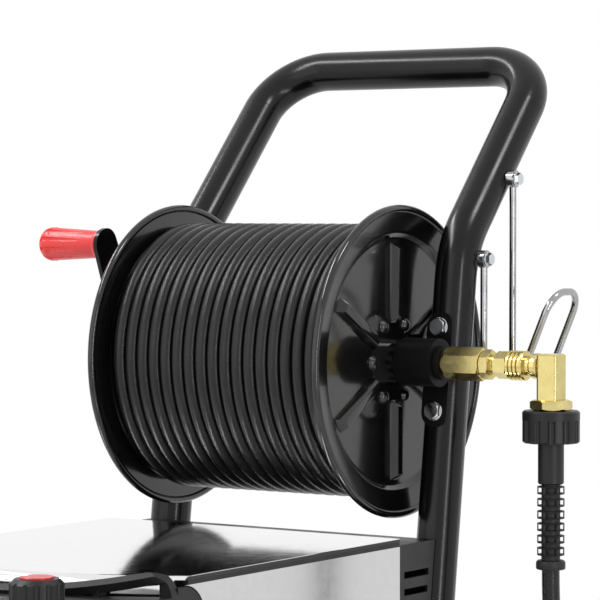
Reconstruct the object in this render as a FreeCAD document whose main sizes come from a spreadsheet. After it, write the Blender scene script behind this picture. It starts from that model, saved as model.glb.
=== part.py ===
import FreeCAD, Part
import math
import os
import re
import Sketcher

# Commercial pressure washer on a tube trolley, with a crank reel of high pressure hose.
# Millimetres. X runs across the machine to its right, Y to the rear and Z up. The machine is
# drawn about the middle of the floor under its reel, and the origin is then set in the middle
# of the space that it stands in, on the floor.

SIZES = {
    # place of the origin and of the reel
    "origin_across": 25.75,
    "origin_along": -145.7,
    "axis_height": 640,
    # tube frame
    "tube_diameter": 38,
    "tube_wall": 2,
    "leg_half_spacing": 148.5,
    "leg_offset": 41,
    "leg_lean": 7.4,
    "leg_foot_height": 105,
    "leg_bend_above_axis": 102,
    "leg_bend_radius": 90,
    "bar_tilt": 42.6,
    "bar_reach": 231,
    "bar_seam": 175,
    "bar_corner_radius": 55,
    # bearing brackets
    "bracket_width": 26,
    "bracket_thickness": 3,
    "bracket_corner": 12.9,
    "bracket_end": 14,
    "bracket_bolt_up": 33,
    "bracket_bolt_down": 42,
    "housing_diameter": 43,
    "housing_inboard": 22,
    "housing_outboard": 14.5,
    "bush_wall": 4,
    "bolt_diameter": 8,
    "bolt_head_across": 14.4,
    "bolt_head_height": 5.5,
    "bolt_length": 12,
    # reel
    "shaft_diameter": 20,
    "shaft_tip_diameter": 14,
    "collar_diameter": 30,
    "collar_length": 5,
    "collar_gap": 0.5,
    "crank_gap": 5.5,
    "shaft_insertion": 16.5,
    "drum_diameter": 176,
    "drum_wall": 2,
    "flange_diameter": 280,
    "flange_sheet": 2,
    "flange_step_radius": 111,
    "flange_step": 4,
    "flange_bead_radius": 3.5,
    "flange_bead_offset": 8,
    "flange_hub_length": 13,
    "flange_rib_count": 6,
    "flange_rib_start": 45,
    "flange_rib_end": 107,
    "flange_rib_width": 15,
    "flange_rib_crest": 3,
    "flange_rib_height": 6,
    "flange_rib_slope": 13,
    "flange_bolt_circle": 36,
    "flange_bolt_radius": 6.5,
    "flange_bolt_height": 4.5,
    # hose on the reel
    "hose_diameter": 12.4,
    "hose_pitch": 12.9,
    "hose_radius_on_drum": 117,
    "hose_start_angle": 70,
    "ferrule_length": 26,
    "ferrule_diameter": 12.8,
    "plug_diameter": 10.8,
    "plug_length": 14,
    "plug_bore": 6,
    # crank
    "crank_radius": 112.4,
    "crank_angle": 113.6,
    "crank_width": 30,
    "crank_hub_width": 44,
    "crank_thickness": 4,
    "crank_corner": 14.9,
    "crank_nut_across": 22,
    "crank_nut_height": 9,
    "grip_length": 70,
    "grip_diameter": 31,
    "grip_flare_diameter": 28,
    "grip_waist_diameter": 25.5,
    "grip_tip": 4,
    "grip_cap": 13,
    "grip_flutes": 10,
    "grip_flute_diameter": 5,
    "grip_pin_diameter": 10,
    # swivel and coupler, along the reel axis
    "swivel_gap": 1,
    "swivel_length": 38.5,
    "swivel_neck_length": 14,
    "swivel_across": 26,
    "swivel_neck_diameter": 16,
    "swivel_nut_across": 23,
    "swivel_nut_length": 9,
    "coupler_length": 43,
    "coupler_hex_length": 13,
    "coupler_across": 21,
    "coupler_neck_diameter": 17,
    "sleeve_length": 16,
    "sleeve_diameter": 26,
    "sleeve_groove": 1.5,
    "sleeve_travel": 3.5,
    # elbow and the stack that hangs from it
    "elbow_side": 20,
    "elbow_top": 11,
    "elbow_drop": 28.6,
    "elbow_nut_across": 32,
    "elbow_nut_height": 9,
    "hose_nut_diameter": 50,
    "hose_nut_height": 28,
    "hose_nut_flutes": 12,
    "hose_nut_flute_diameter": 7,
    "hose_nut_band": 8,
    "hose_tail_diameter": 22.6,
    "hose_tail_length": 64,
    "relief_length": 74,
    "relief_diameter": 24,
    "relief_root_diameter": 18,
    "relief_ribs": 6,
    "relief_collar": 8,
    "jumper_diameter": 15.6,
    # lance hook
    "hook_wire": 6.5,
    "hook_reach": 59.5,
    "hook_lean": 28,
    "hook_front_y": 62.5,
    "hook_front_z": 91,
    "hook_rear_y": 114.5,
    "hook_rear_z": 163.6,
    "hook_bend_radius": 11,
    "hook_loop_radius": 22,
    "hook_low": -4,
    "hook_high": 62,
    "hook_bolt_across": 10,
    "hook_bolt_height": 5,
    "hook_bolt_diameter": 6,
    "hook_bolt_shank": 6.8,
    "hook_stand_off": 3.6,
    "hook_eye_diameter": 16,
    # stainless cabinet
    "cabinet_margin": 9.5,
    "cabinet_sheet": 1.5,
    "reel_clearance": 11,
    "lid_rear": -59,
    "lid_front": -376,
    "lid_nose": -424,
    "lid_fold": 3,
    "lid_front_fold": 30,
    "lid_front_radius": 8,
    "lid_corner": 8,
    "seam_height": 4,
    "seam_depth": 6,
    "side_bottom": 205,
    "side_front": -349,
    "side_cut_radius": 28,
    "cheek_gap": 1,
    # rear cowl
    "cowl_top_drop": 6,
    "cowl_leg_gap": 1.5,
    "cowl_wall": 3,
    "louvre_count": 10,
    "louvre_pitch": 15,
    "louvre_height": 6,
    "louvre_first": 30,
    "louvre_margin": 7,
    # tray, axle and front stand
    "tray_bottom": 140,
    "tray_wall": 3,
    "tray_front": -381,
    "tray_rear": -58,
    "axle_y": -60,
    "wheel_diameter": 250,
    "axle_diameter": 20,
    "axle_bracket_thickness": 4,
    "axle_bracket_length": 70,
    "wheel_gap": 4.5,
    "wheel_width": 50,
    "axle_end": 4,
    "rim_diameter": 176,
    "rim_wall": 5,
    "rim_hub_diameter": 48,
    "rim_windows": 6,
    "rim_window_diameter": 36,
    "rim_window_circle": 54,
    "tread_depth": 4,
    "stand_tube": 25,
    "stand_y": -340,
    "stand_half_width": 115,
    "stand_corner": 45,
    "stand_rise": 17.5,
    "pad_half_length": 20,
    "pad_spacing": 50,
    # front cowl with its carry bar
    "nose_side": -412,
    "nose_front": -521,
    "nose_rear": -384,
    "nose_bottom": 142,
    "nose_drop": 15,
    "nose_slope": 10,
    "nose_wall": 3,
    "bar_arc_front": -434,
    "bar_arc_drop": 15,
    "bar_arc_radius": 262,
    "bar_arc_tilt": 21,
    "bar_section_height": 7,
    "bar_section_depth": 11,
    "trough_half_width": 151,
    "trough_depth": 26,
    "bar_corner": 14,
    "post_inner": 103,
    "post_width": 7,
    "post_outer_width": 12,
    "crown_thickness": 30,
    "front_slot_count": 6,
    "front_slot_half": 52,
    "front_slot_height": 5,
    "front_slot_pitch": 12,
    "front_slot_first": 172,
    # regulator knob, switch and gauge on the fascia
    "knob_above_lid": 5,
    "knob_boss_drop": 17,
    "knob_x": 86,
    "knob_y": -470,
    "knob_diameter": 43,
    "knob_boss_diameter": 47,
    "knob_flutes": 14,
    "knob_flute_diameter": 5,
    "knob_cap_diameter": 27,
    "knob_cap_height": 3,
    "knob_chamfer": 4,
    "stem_diameter": 9,
    "stem_bottom": 292,
    "switch_x": -86,
    "switch_y": -468,
    "switch_width": 22,
    "switch_length": 32,
    "switch_depth": 12,
    "gauge_diameter": 50,
    "gauge_y": -474,
    "gauge_depth": 10,
    "gauge_rim": 3,
    # pump and motor
    "pump_height": 240,
    "pump_width": 120,
    "pump_block": 84,
    "pump_front": -374,
    "pump_boss": 13,
    "motor_diameter": 150,
    "motor_front": -300,
    "motor_rear": -122,
    "motor_foot_width": 90,
    "motor_fin_count": 20,
    "motor_fin_depth": 4,
    "rotor_shaft_diameter": 16,
    "rotor_reach": -84,
    "fan_diameter": 116,
    "fan_hub_diameter": 34,
    "fan_blades": 7,
    "fan_blade_sheet": 3,
    "fan_depth": 16,
    "unloader_half_width": 13,
    "unloader_inner_x": 30,
    "unloader_front": -481,
    "unloader_height": 60,
    # outlet on the right and water inlet on the left
    "outlet_y": -330,
    "outlet_pipe_diameter": 24,
    "outlet_tail_diameter": 18,
    "outlet_reach": 52,
    "outlet_arm": 25,
    "jumper_nut_across": 27,
    "jumper_nut_length": 18,
    "jumper_ferrule_length": 32,
    "jumper_ferrule_diameter": 22,
    "inlet_reach": 37,
    "inlet_thread_diameter": 26.4,
    "inlet_hex_across": 32,
    "inlet_hex_length": 10,
    # clearances
    "running_clearance": 0.05,
    "loose_clearance": 0.3,
    "free_clearance": 0.5,
}

# sizes that follow from others, so that pieces that belong together stay together
FITTED = {
    "housing_end": "leg_half_spacing + housing_outboard",
    "shaft_left_reach": "housing_end + collar_gap + collar_length + crank_gap",
    "swivel_start": "housing_end + collar_gap + collar_length + swivel_gap",
    "shaft_right_reach": "swivel_start + shaft_insertion",
    "swivel_end": "swivel_start + swivel_length",
    "coupler_start": "swivel_end + swivel_neck_length",
    "coupler_end": "coupler_start + coupler_length",
    "drum_half_width": "leg_half_spacing - housing_inboard - flange_hub_length - collar_gap",
    "hose_turns": "floor(2 * (2 * drum_half_width - hose_diameter - 0.5) / hose_pitch) / 2",
    "cabinet_half_width": "leg_half_spacing + cabinet_margin",
    "lid_height": "axis_height - flange_diameter / 2 - reel_clearance",
    "nose_top": "lid_height - nose_drop",
    "bar_arc_height": "lid_height - bar_arc_drop",
    "knob_top": "lid_height + knob_above_lid",
    "knob_boss_top": "lid_height - knob_boss_drop",
    "wheel_inner_face": "leg_half_spacing + tube_diameter / 2 + wheel_gap",
    "axle_reach": "wheel_inner_face + wheel_width + axle_end",
    "outlet_x": "cabinet_half_width + outlet_reach",
    "post_outer": "cabinet_half_width - post_outer_width / 2",
}

doc = FreeCAD.newDocument("pressure_washer")
sheet = doc.addObject("Spreadsheet::Sheet", "Sheet")
for row, (alias, size) in enumerate([*SIZES.items(), *FITTED.items()], 1):
    sheet.set(f"A{row}", alias)
    sheet.set(f"B{row}", f"={size}")
    sheet.setAlias(f"B{row}", alias)
doc.recompute()

UP = FreeCAD.Vector(0, 0, 1)


# Sizes as expressions
def link(words):
    known = {**SIZES, **FITTED}
    return re.sub(r"[a-z_]+[a-z]", lambda name: f"Sheet.{name[0]}" if name[0] in known else name[0],
                  str(words))


def value(words):
    return float(sheet.evalExpression(link(words)))


def bind(thing, prop, words):
    thing.setExpression(prop, link(words))


# Bodies, sketches and features
def body(label, x="0", y="0", z="0", tilt="0"):
    piece = doc.addObject("PartDesign::Body", label)
    piece.Label = label
    place(piece, x, y, z, tilt)
    return piece


def place(piece, x="0", y="0", z="0", tilt="0", axis=(1, 0, 0)):
    turn = FreeCAD.Rotation(FreeCAD.Vector(*axis), value(tilt))
    piece.Placement = FreeCAD.Placement(FreeCAD.Vector(0, 0, 0), turn)
    bind(piece, "Placement.Base.x", f"{x} - origin_across")
    bind(piece, "Placement.Base.y", f"{y} - origin_along")
    bind(piece, "Placement.Base.z", z)


def datum(piece, role):
    return next(part for part in piece.Origin.OriginFeatures if part.Role == role)


def blank_sketch(piece, plane, offset):
    drawing = piece.newObject("Sketcher::SketchObject", "outline")
    drawing.AttachmentSupport = [(datum(piece, plane), "")]
    drawing.MapMode = "FlatFace"
    if offset != "0":
        bind(drawing, "AttachmentOffset.Base.z", f"-({offset})" if plane == "XZ_Plane" else offset)
    return drawing


def pin_point(drawing, geometry, end, spot):
    for kind, words in zip(("DistanceX", "DistanceY"), spot):
        number = drawing.addConstraint(Sketcher.Constraint(kind, -1, 1, geometry, end, value(words)))
        bind(drawing, f"Constraints[{number}]", words)


def flat(spot):
    return FreeCAD.Vector(value(spot[0]), value(spot[1]), 0)


def add_circle(drawing, x, y, radius):
    circle = drawing.addGeometry(Part.Circle(flat((x, y)), UP, value(radius)), False)
    pin_point(drawing, circle, 3, (x, y))
    number = drawing.addConstraint(Sketcher.Constraint("Radius", circle, value(radius)))
    bind(drawing, f"Constraints[{number}]", radius)


def add_arc(drawing, start, middle, end):
    """An arc through three points, run anticlockwise; gives its number and its first and last ends."""
    if (middle - start).cross(end - start).z > 0:
        return drawing.addGeometry(Part.Arc(start, middle, end), False), 1, 2
    return drawing.addGeometry(Part.Arc(end, middle, start), False), 2, 1


def add_outline(drawing, corners):
    """A closed outline: a corner is a pair, and ("via", x, y) bends the side there into an arc."""
    ends = [corner for corner in corners if corner[0] != "via"]
    sides = []
    for index, corner in enumerate(corners):
        if corner[0] == "via":
            continue
        after = corners[(index + 1) % len(corners)]
        if after[0] == "via":
            end = corners[(index + 2) % len(corners)]
            sides.append(add_arc(drawing, flat(corner), flat(after[1:]), flat(end)))
            middle = drawing.addGeometry(Part.Point(flat(after[1:])), True)
            pin_point(drawing, middle, 1, after[1:])
            drawing.addConstraint(Sketcher.Constraint("PointOnObject", middle, 1, sides[-1][0]))
        else:
            sides.append((drawing.addGeometry(Part.LineSegment(flat(corner), flat(after)), False), 1, 2))
    for index, (side, start, end) in enumerate(sides):
        following = sides[(index + 1) % len(sides)]
        drawing.addConstraint(Sketcher.Constraint("Coincident", side, end, following[0], following[1]))
    for (side, start, end), spot in zip(sides, ends):
        pin_point(drawing, side, start, spot)


def sketch(piece, plane, *loops, offset="0"):
    """Each loop is ("circle", x, y, radius) or a list of corners."""
    drawing = blank_sketch(piece, plane, offset)
    for loop in loops:
        if loop[0] == "circle":
            add_circle(drawing, *loop[1:])
        else:
            add_outline(drawing, loop)
    return drawing


def rounded_points(corners, radius, closed):
    """Tangent points and arc middles at the corners of a route in the plane."""
    spots = [flat(corner) for corner in corners]
    turns = range(len(spots)) if closed else range(1, len(spots) - 1)
    found = {}
    for index in turns:
        spot = spots[index]
        back = (spots[index - 1] - spot).normalize()
        ahead = (spots[(index + 1) % len(spots)] - spot).normalize()
        half = back.getAngle(ahead) / 2
        reach = radius / math.tan(half)
        inward = (back + ahead).normalize()
        found[index] = (spot + back * reach, spot + inward * (radius / math.sin(half) - radius),
                        spot + ahead * reach)
    return spots, found


def route(piece, plane, corners, radius, closed=False, offset="0"):
    """Straight runs between the corners, joined by tangent arcs of one radius."""
    drawing = blank_sketch(piece, plane, offset)
    spots, found = rounded_points(corners, value(radius), closed)
    marks = []
    for spot, corner in zip(spots, corners):
        mark = drawing.addGeometry(Part.Point(spot), True)
        pin_point(drawing, mark, 1, corner)
        marks.append(mark)
    count = len(spots)
    lines = []
    for index in range(count if closed else count - 1):
        after = (index + 1) % count
        start = found[index][2] if index in found else spots[index]
        end = found[after][0] if after in found else spots[after]
        line = drawing.addGeometry(Part.LineSegment(start, end), False)
        lines.append(line)
        for corner, tip in ((index, 1), (after, 2)):
            kind = "PointOnObject" if corner in found else "Coincident"
            words = (marks[corner], 1, line) if corner in found else (marks[corner], 1, line, tip)
            drawing.addConstraint(Sketcher.Constraint(kind, *words))
    for index, (start, middle, end) in found.items():
        arc, first, last = add_arc(drawing, start, middle, end)
        before = lines[index - 1]
        after = lines[index]
        drawing.addConstraint(Sketcher.Constraint("Tangent", before, 2, arc, first))
        drawing.addConstraint(Sketcher.Constraint("Tangent", arc, last, after, 1))
        number = drawing.addConstraint(Sketcher.Constraint("Radius", arc, value(radius)))
        bind(drawing, f"Constraints[{number}]", radius)
    return drawing


def box_loop(x0, x1, y0, y1):
    return [(x0, y0), (x1, y0), (x1, y1), (x0, y1)]


def hexagon(across, x="0", y="0"):
    corner = f"{across} / sqrt(3)"
    return [(f"{x} + {corner} * cos({60 * step})", f"{y} + {corner} * sin({60 * step})") for step in range(6)]


def pad(piece, drawing, length, both=False, back=False, kind="PartDesign::Pad"):
    feature = piece.newObject(kind, "step")
    feature.Profile = drawing
    bind(feature, "Length", length)
    feature.SideType = "Symmetric" if both else "One side"
    feature.Reversed = back
    return feature


def pocket(piece, drawing, length, both=False, back=False):
    return pad(piece, drawing, length, both, back, "PartDesign::Pocket")


def turn(piece, drawing, role, kind="PartDesign::Revolution"):
    feature = piece.newObject(kind, "turn")
    feature.Profile = drawing
    feature.ReferenceAxis = (datum(piece, role), [""])
    feature.Angle = 360
    return feature


def around(piece, feature, role, count):
    pattern = piece.newObject("PartDesign::PolarPattern", "around")
    pattern.Originals = [feature]
    pattern.Axis = (datum(piece, role), [""])
    pattern.Angle = 360
    bind(pattern, "Occurrences", count)
    piece.Tip = pattern
    return pattern


def pipe(piece, profile, spine):
    doc.recompute()
    feature = piece.newObject("PartDesign::AdditivePipe", "pipe")
    feature.Profile = profile
    feature.Spine = (spine, [f"Edge{number + 1}" for number in range(len(spine.Shape.Edges))])
    return feature


def loft(piece, first, last):
    feature = piece.newObject("PartDesign::AdditiveLoft", "loft")
    feature.Profile = first
    feature.Sections = [last]
    feature.Ruled = True
    return feature


def round_edges(piece, radius, chosen, kind="PartDesign::Fillet", size="Radius"):
    """Fillets the edges of the piece so far for which chosen(edge) is true."""
    doc.recompute()
    base = piece.Tip
    names = [f"Edge{number + 1}" for number, edge in enumerate(base.Shape.Edges) if chosen(edge)]
    feature = piece.newObject(kind, "rounding")
    feature.Base = (base, names)
    bind(feature, size, radius)
    return feature


def chamfer_edges(piece, size, chosen):
    return round_edges(piece, size, chosen, "PartDesign::Chamfer", "Size")


def along(axis):
    def straight(edge):
        if edge.Curve.TypeId != "Part::GeomLine":
            return False
        return abs(abs(edge.tangentAt(edge.FirstParameter).dot(axis)) - 1) < 1e-6
    return straight


def turned(label, profile, about="X_Axis", **spot):
    """A piece of revolution: the profile is (along the axis, radius), or (radius, height) about Z."""
    piece = body(label, **spot)
    turn(piece, sketch(piece, "XZ_Plane", profile), about)
    return piece


# Plain solids with a place of their own
def cylinder(name, radius, height, x, y, z, tilt="0", axis=(1, 0, 0)):
    solid = doc.addObject("Part::Cylinder", name)
    bind(solid, "Radius", radius)
    bind(solid, "Height", height)
    place(solid, x, y, z, tilt, axis)
    return solid


def prism(name, across, height, x, y, z, tilt="0", axis=(1, 0, 0)):
    solid = doc.addObject("Part::Prism", name)
    bind(solid, "Circumradius", f"{across} / sqrt(3)")
    bind(solid, "Height", height)
    place(solid, x, y, z, tilt, axis)
    return solid


def joined(label, solids):
    whole = doc.addObject("Part::MultiFuse", label)
    whole.Label = label
    whole.Shapes = solids
    return whole


def group(label, solids):
    whole = doc.addObject("Part::Compound", label)
    whole.Label = label
    whole.Links = solids
    return whole


def solid_feature(label, shape):
    feature = doc.addObject("Part::Feature", label)
    feature.Label = label
    feature.Shape = shape
    feature.Placement = FreeCAD.Placement(
        FreeCAD.Vector(-value("origin_across"), -value("origin_along"), 0), FreeCAD.Rotation())
    return feature


# Tubes along a route in space
def bent_wire(points, radii):
    """Straight runs joined by tangent arcs; one radius for each inner point."""
    spots = [FreeCAD.Vector(*point) for point in points]
    edges = []
    start = spots[0]
    for index, radius in enumerate(radii, 1):
        back = (spots[index - 1] - spots[index]).normalize()
        ahead = (spots[index + 1] - spots[index]).normalize()
        half = back.getAngle(ahead) / 2
        reach = radius / math.tan(half)
        middle = spots[index] + (back + ahead).normalize() * (radius / math.sin(half) - radius)
        first = spots[index] + back * reach
        last = spots[index] + ahead * reach
        if (first - start).Length > 1e-6:
            edges.append(Part.LineSegment(start, first).toShape())
        edges.append(Part.Arc(first, middle, last).toShape())
        start = last
    edges.append(Part.LineSegment(start, spots[-1]).toShape())
    return Part.Wire(edges)


def largest_radii(points):
    """The cord rule: 0.45 of the shorter run over the tangent of half the turn."""
    spots = [FreeCAD.Vector(*point) for point in points]
    radii = []
    for before, here, after in zip(spots, spots[1:], spots[2:]):
        angle = (here - before).getAngle(after - here)
        radii.append(0.45 * min((here - before).Length, (after - here).Length) / math.tan(angle / 2))
    return radii


def round_tube(wire, diameter):
    start = wire.Edges[0].Vertexes[0].Point
    ahead = wire.Edges[0].tangentAt(wire.Edges[0].FirstParameter)
    section = Part.Wire(Part.Circle(start, ahead, diameter / 2).toShape())
    return wire.makePipeShell([section], True, False)


def biarc(start, start_way, end, end_way):
    """Two tangent arcs between two points with given directions."""
    gap = end - start
    lean = 1 - start_way.dot(end_way)
    both = gap.dot(start_way + end_way)
    reach = (math.sqrt(both * both + 2 * lean * gap.dot(gap)) - both) / (2 * lean)
    first = start + start_way * reach
    last = end - end_way * reach
    meet = (first + last) / 2
    arcs = []
    for tail, corner, head in ((start, first, meet), (meet, last, end)):
        weight = (head - tail).Length / 2 / (corner - tail).Length
        middle = (tail + corner * (2 * weight) + head) / (2 * (1 + weight))
        arcs.append(Part.Arc(tail, middle, head).toShape())
    return arcs


# Tube frame: two legs that lean back, bend over above the reel and carry a bar between them
LEG_FOOT_Y = "leg_offset - (axis_height - leg_foot_height) * tan(leg_lean)"
LEG_RUN = "(axis_height + leg_bend_above_axis - leg_foot_height) / cos(leg_lean)"
LEG_TURN = "(bar_tilt - leg_lean)"
HOOK_X = "(leg_half_spacing + tube_diameter / 2 + hook_stand_off)"
LEG_FACE = "(leg_offset * cos(leg_lean) - tube_diameter / 2)"
SIDES = (("left", "-1"), ("right", "1"))


def ring_loops(x="0", y="0"):
    return ("circle", x, y, "tube_diameter / 2"), ("circle", x, y, "tube_diameter / 2 - tube_wall")


def upright(name, side):
    piece = body(f"{name}_upright", f"{side} * leg_half_spacing", LEG_FOOT_Y, "leg_foot_height", "-leg_lean")
    spine = route(piece, "YZ_Plane", [
        ("0", "0"), ("0", LEG_RUN),
        (f"bar_seam * sin({LEG_TURN})", f"{LEG_RUN} + bar_seam * cos({LEG_TURN})")], "leg_bend_radius")
    pipe(piece, sketch(piece, "XY_Plane", *ring_loops()), spine)
    axis_run = "((axis_height - leg_foot_height) / cos(leg_lean) - leg_offset * sin(leg_lean))"
    hole = "bolt_diameter / 2 + loose_clearance"
    holes = sketch(piece, "XZ_Plane", ("circle", "0", f"{axis_run} + bracket_bolt_up", hole),
                   ("circle", "0", f"{axis_run} - bracket_bolt_down", hole))
    pocket(piece, holes, "tube_diameter", back=True)
    return piece


def handle_bar():
    piece = body("handle_bar", "0", "leg_offset + leg_bend_above_axis * tan(leg_lean)",
                 "axis_height + leg_bend_above_axis", "-bar_tilt")
    spine = route(piece, "XZ_Plane", [
        ("-leg_half_spacing", "bar_seam"), ("-leg_half_spacing", "bar_reach"),
        ("leg_half_spacing", "bar_reach"), ("leg_half_spacing", "bar_seam")], "bar_corner_radius")
    pipe(piece, sketch(piece, "XY_Plane", *ring_loops("-leg_half_spacing"), offset="bar_seam"), spine)
    return piece


# Bearing brackets: a plate on the front of each leg with the reel's bearing housing welded to it
def bearing_bracket(name, side):
    piece = body(f"{name}_bearing_bracket", f"{side} * leg_half_spacing", "0", "axis_height", "-leg_lean")
    top = "bracket_bolt_up + bracket_end"
    bottom = "-bracket_bolt_down - bracket_end"
    half = "bracket_width / 2"
    outline = route(piece, "XZ_Plane", box_loop(f"-{half}", half, bottom, top), "bracket_corner",
                    closed=True, offset=LEG_FACE)
    pad(piece, outline, "bracket_thickness")
    turn(piece, sketch(piece, "XZ_Plane", [
        (f"{side} * -housing_inboard", "shaft_diameter / 2 + bush_wall + running_clearance"),
        (f"{side} * housing_outboard", "shaft_diameter / 2 + bush_wall + running_clearance"),
        (f"{side} * housing_outboard", "housing_diameter / 2"),
        (f"{side} * -housing_inboard", "housing_diameter / 2")]), "X_Axis")
    holes = sketch(piece, "XZ_Plane",
                   ("circle", "0", "bracket_bolt_up", "bolt_diameter / 2 + loose_clearance"),
                   ("circle", "0", "-bracket_bolt_down", "bolt_diameter / 2 + loose_clearance"))
    pocket(piece, holes, "tube_diameter")
    return piece


def tube_along_x(name, outer, inner, start, length, *spot):
    """A ring or sleeve along X that starts at start."""
    whole = cylinder(f"{name}_outside", outer, length, start, *spot, "90", (0, 1, 0))
    bore = cylinder(f"{name}_bore", inner, length, start, *spot, "90", (0, 1, 0))
    ring = doc.addObject("Part::Cut", name)
    ring.Base = whole
    ring.Tool = bore
    return ring


def bearing_bushes():
    length = "housing_inboard + housing_outboard"
    return group("bearing_bushes", [
        tube_along_x(f"{name}_bush", "shaft_diameter / 2 + bush_wall",
                     "shaft_diameter / 2 + running_clearance",
                     start, length, "0", "axis_height")
        for name, start in (("left", "-leg_half_spacing - housing_outboard"),
                            ("right", "leg_half_spacing - housing_inboard"))])


def frame_bolts():
    """The four bracket bolts and the two that hold the lance hook."""
    solids = []
    for name, side in SIDES:
        for spot, height in (("up", "bracket_bolt_up"), ("down", "-bracket_bolt_down")):
            front = f"({LEG_FACE} - bracket_thickness)"
            spot_y = f"{height} * sin(leg_lean) + {front} * cos(leg_lean)"
            spot_z = f"axis_height + {height} * cos(leg_lean) - {front} * sin(leg_lean)"
            across = f"{side} * leg_half_spacing"
            head = prism(f"{name}_{spot}_head", "bolt_head_across", "bolt_head_height", across, spot_y,
                         spot_z,
                         "90 - leg_lean")
            shank = cylinder(f"{name}_{spot}_shank", "bolt_diameter / 2", "bolt_length", across, spot_y,
                             spot_z,
                             "-90 - leg_lean")
            solids.append(joined(f"{name}_{spot}_bolt", [head, shank]))
    for name in ("front", "rear"):
        spot = (f"hook_{name}_y", f"axis_height + hook_{name}_z", "90", (0, 1, 0))
        seat = f"{HOOK_X} + hook_wire / 2 + loose_clearance"
        head = prism(f"{name}_hook_head", "hook_bolt_across", "hook_bolt_height", seat, *spot)
        shank = cylinder(f"{name}_hook_shank", "hook_bolt_diameter / 2", "hook_bolt_shank",
                         f"{seat} - hook_bolt_shank", *spot)
        solids.append(joined(f"{name}_hook_bolt", [head, shank]))
    return group("frame_bolts", solids)


# Reel: shaft, drum, pressed flanges and collars, all turned about the reel axis
def reel_shaft():
    end = "shaft_left_reach + crank_thickness + crank_nut_height + 3"
    return turned("reel_shaft", [
        (f"-({end})", "0"), ("shaft_right_reach", "0"), ("shaft_right_reach", "shaft_diameter / 2"),
        ("-shaft_left_reach", "shaft_diameter / 2"), ("-shaft_left_reach", "shaft_tip_diameter / 2"),
        (f"-({end})", "shaft_tip_diameter / 2")], z="axis_height")


def shaft_collars():
    near = "leg_half_spacing + housing_outboard + collar_gap"
    return group("shaft_collars", [
        tube_along_x(f"{name}_collar", "collar_diameter / 2", "shaft_diameter / 2 + running_clearance",
                     start, "collar_length", "0", "axis_height")
        for name, start in (("left", f"-({near} + collar_length)"), ("right", near))])


def reel_drum():
    return turned("reel_drum", box_loop(
        "-drum_half_width", "drum_half_width", "drum_diameter / 2 - drum_wall", "drum_diameter / 2"),
        z="axis_height")


def reel_flange(name, side):
    """A dished pressing: flat web with six pressed ribs, a step, a cone and a rolled rim."""
    piece = body(f"{name}_flange", z="axis_height")
    face = "drum_half_width"
    bead = "flange_diameter / 2 - flange_bead_radius"
    step = "flange_step_radius"
    profile = [
        (face, "shaft_diameter / 2 + running_clearance"),
        (f"{face} + flange_hub_length", "shaft_diameter / 2 + running_clearance"),
        (f"{face} + flange_hub_length", "housing_diameter / 2"),
        (f"{face} + flange_sheet", "housing_diameter / 2"),
        (f"{face} + flange_sheet", step),
        (f"{face} + flange_sheet + flange_step", f"{step} + flange_step"),
        (f"{face} + flange_bead_offset + flange_sheet / 2", bead),
        (f"{face} + flange_bead_offset - flange_sheet / 2", bead),
        (f"{face} + flange_step", f"{step} + flange_step + flange_sheet / 2"),
        (face, f"{step} + flange_sheet / 2")]
    turn(piece, sketch(piece, "XZ_Plane", [(f"{side} * ({x})", r) for x, r in profile]), "X_Axis")
    turn(piece, sketch(piece, "XZ_Plane", (
        "circle", f"{side} * ({face} + flange_bead_offset)", bead, "flange_bead_radius")), "X_Axis")
    low = sketch(piece, "YZ_Plane", box_loop(
        "-flange_rib_width / 2", "flange_rib_width / 2", "flange_rib_start", "flange_rib_end"),
        offset=f"{side} * ({face} + flange_sheet / 2)")
    high = sketch(piece, "YZ_Plane", box_loop(
        "-flange_rib_crest / 2", "flange_rib_crest / 2", "flange_rib_start + flange_rib_slope",
        "flange_rib_end - flange_rib_slope"), offset=f"{side} * ({face} + flange_sheet + flange_rib_height)")
    around(piece, loft(piece, low, high), "X_Axis", "flange_rib_count")
    return piece


def flange_bolts():
    solids = []
    for name, side in SIDES:
        for number in range(6):
            angle = 30 + 60 * number
            cone = doc.addObject("Part::Cone", f"{name}_flange_bolt_{number}")
            bind(cone, "Radius1", "flange_bolt_radius")
            bind(cone, "Radius2", "flange_bolt_radius * 0.6")
            bind(cone, "Height", "flange_bolt_height")
            place(cone, f"{side} * (drum_half_width + flange_sheet)", f"flange_bolt_circle * sin({angle})",
                  f"axis_height + flange_bolt_circle * cos({angle})", f"{side} * 90", (0, 1, 0))
            solids.append(cone)
    return group("flange_bolts", solids)


# Hose on the drum: the inner layers as one core, and the outer layer wound as one tube
def winding_point(angle):
    turns = angle / (2 * math.pi)
    radius = value("hose_radius_on_drum")
    start = -value("hose_pitch") * value("hose_turns") / 2
    spot = FreeCAD.Vector(start + value("hose_pitch") * turns, radius * math.cos(angle + WINDING_START),
                          value("axis_height") + radius * math.sin(angle + WINDING_START))
    way = FreeCAD.Vector(value("hose_pitch") / (2 * math.pi), -radius * math.sin(angle + WINDING_START),
                         radius * math.cos(angle + WINDING_START)).normalize()
    return spot, way


WINDING_START = math.radians(value("hose_start_angle"))


def winding_wire():
    """Half turn biarcs with one straight tube diameter at each end."""
    halves = round(value("hose_turns") * 2)
    edges = []
    spot, way = winding_point(0)
    edges.append(Part.LineSegment(spot - way * value("hose_diameter"), spot).toShape())
    for half in range(halves):
        after, after_way = winding_point((half + 1) * math.pi)
        edges += biarc(spot, way, after, after_way)
        spot, way = after, after_way
    edges.append(Part.LineSegment(spot, spot + way * value("hose_diameter")).toShape())
    return Part.Wire(edges)


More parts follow.
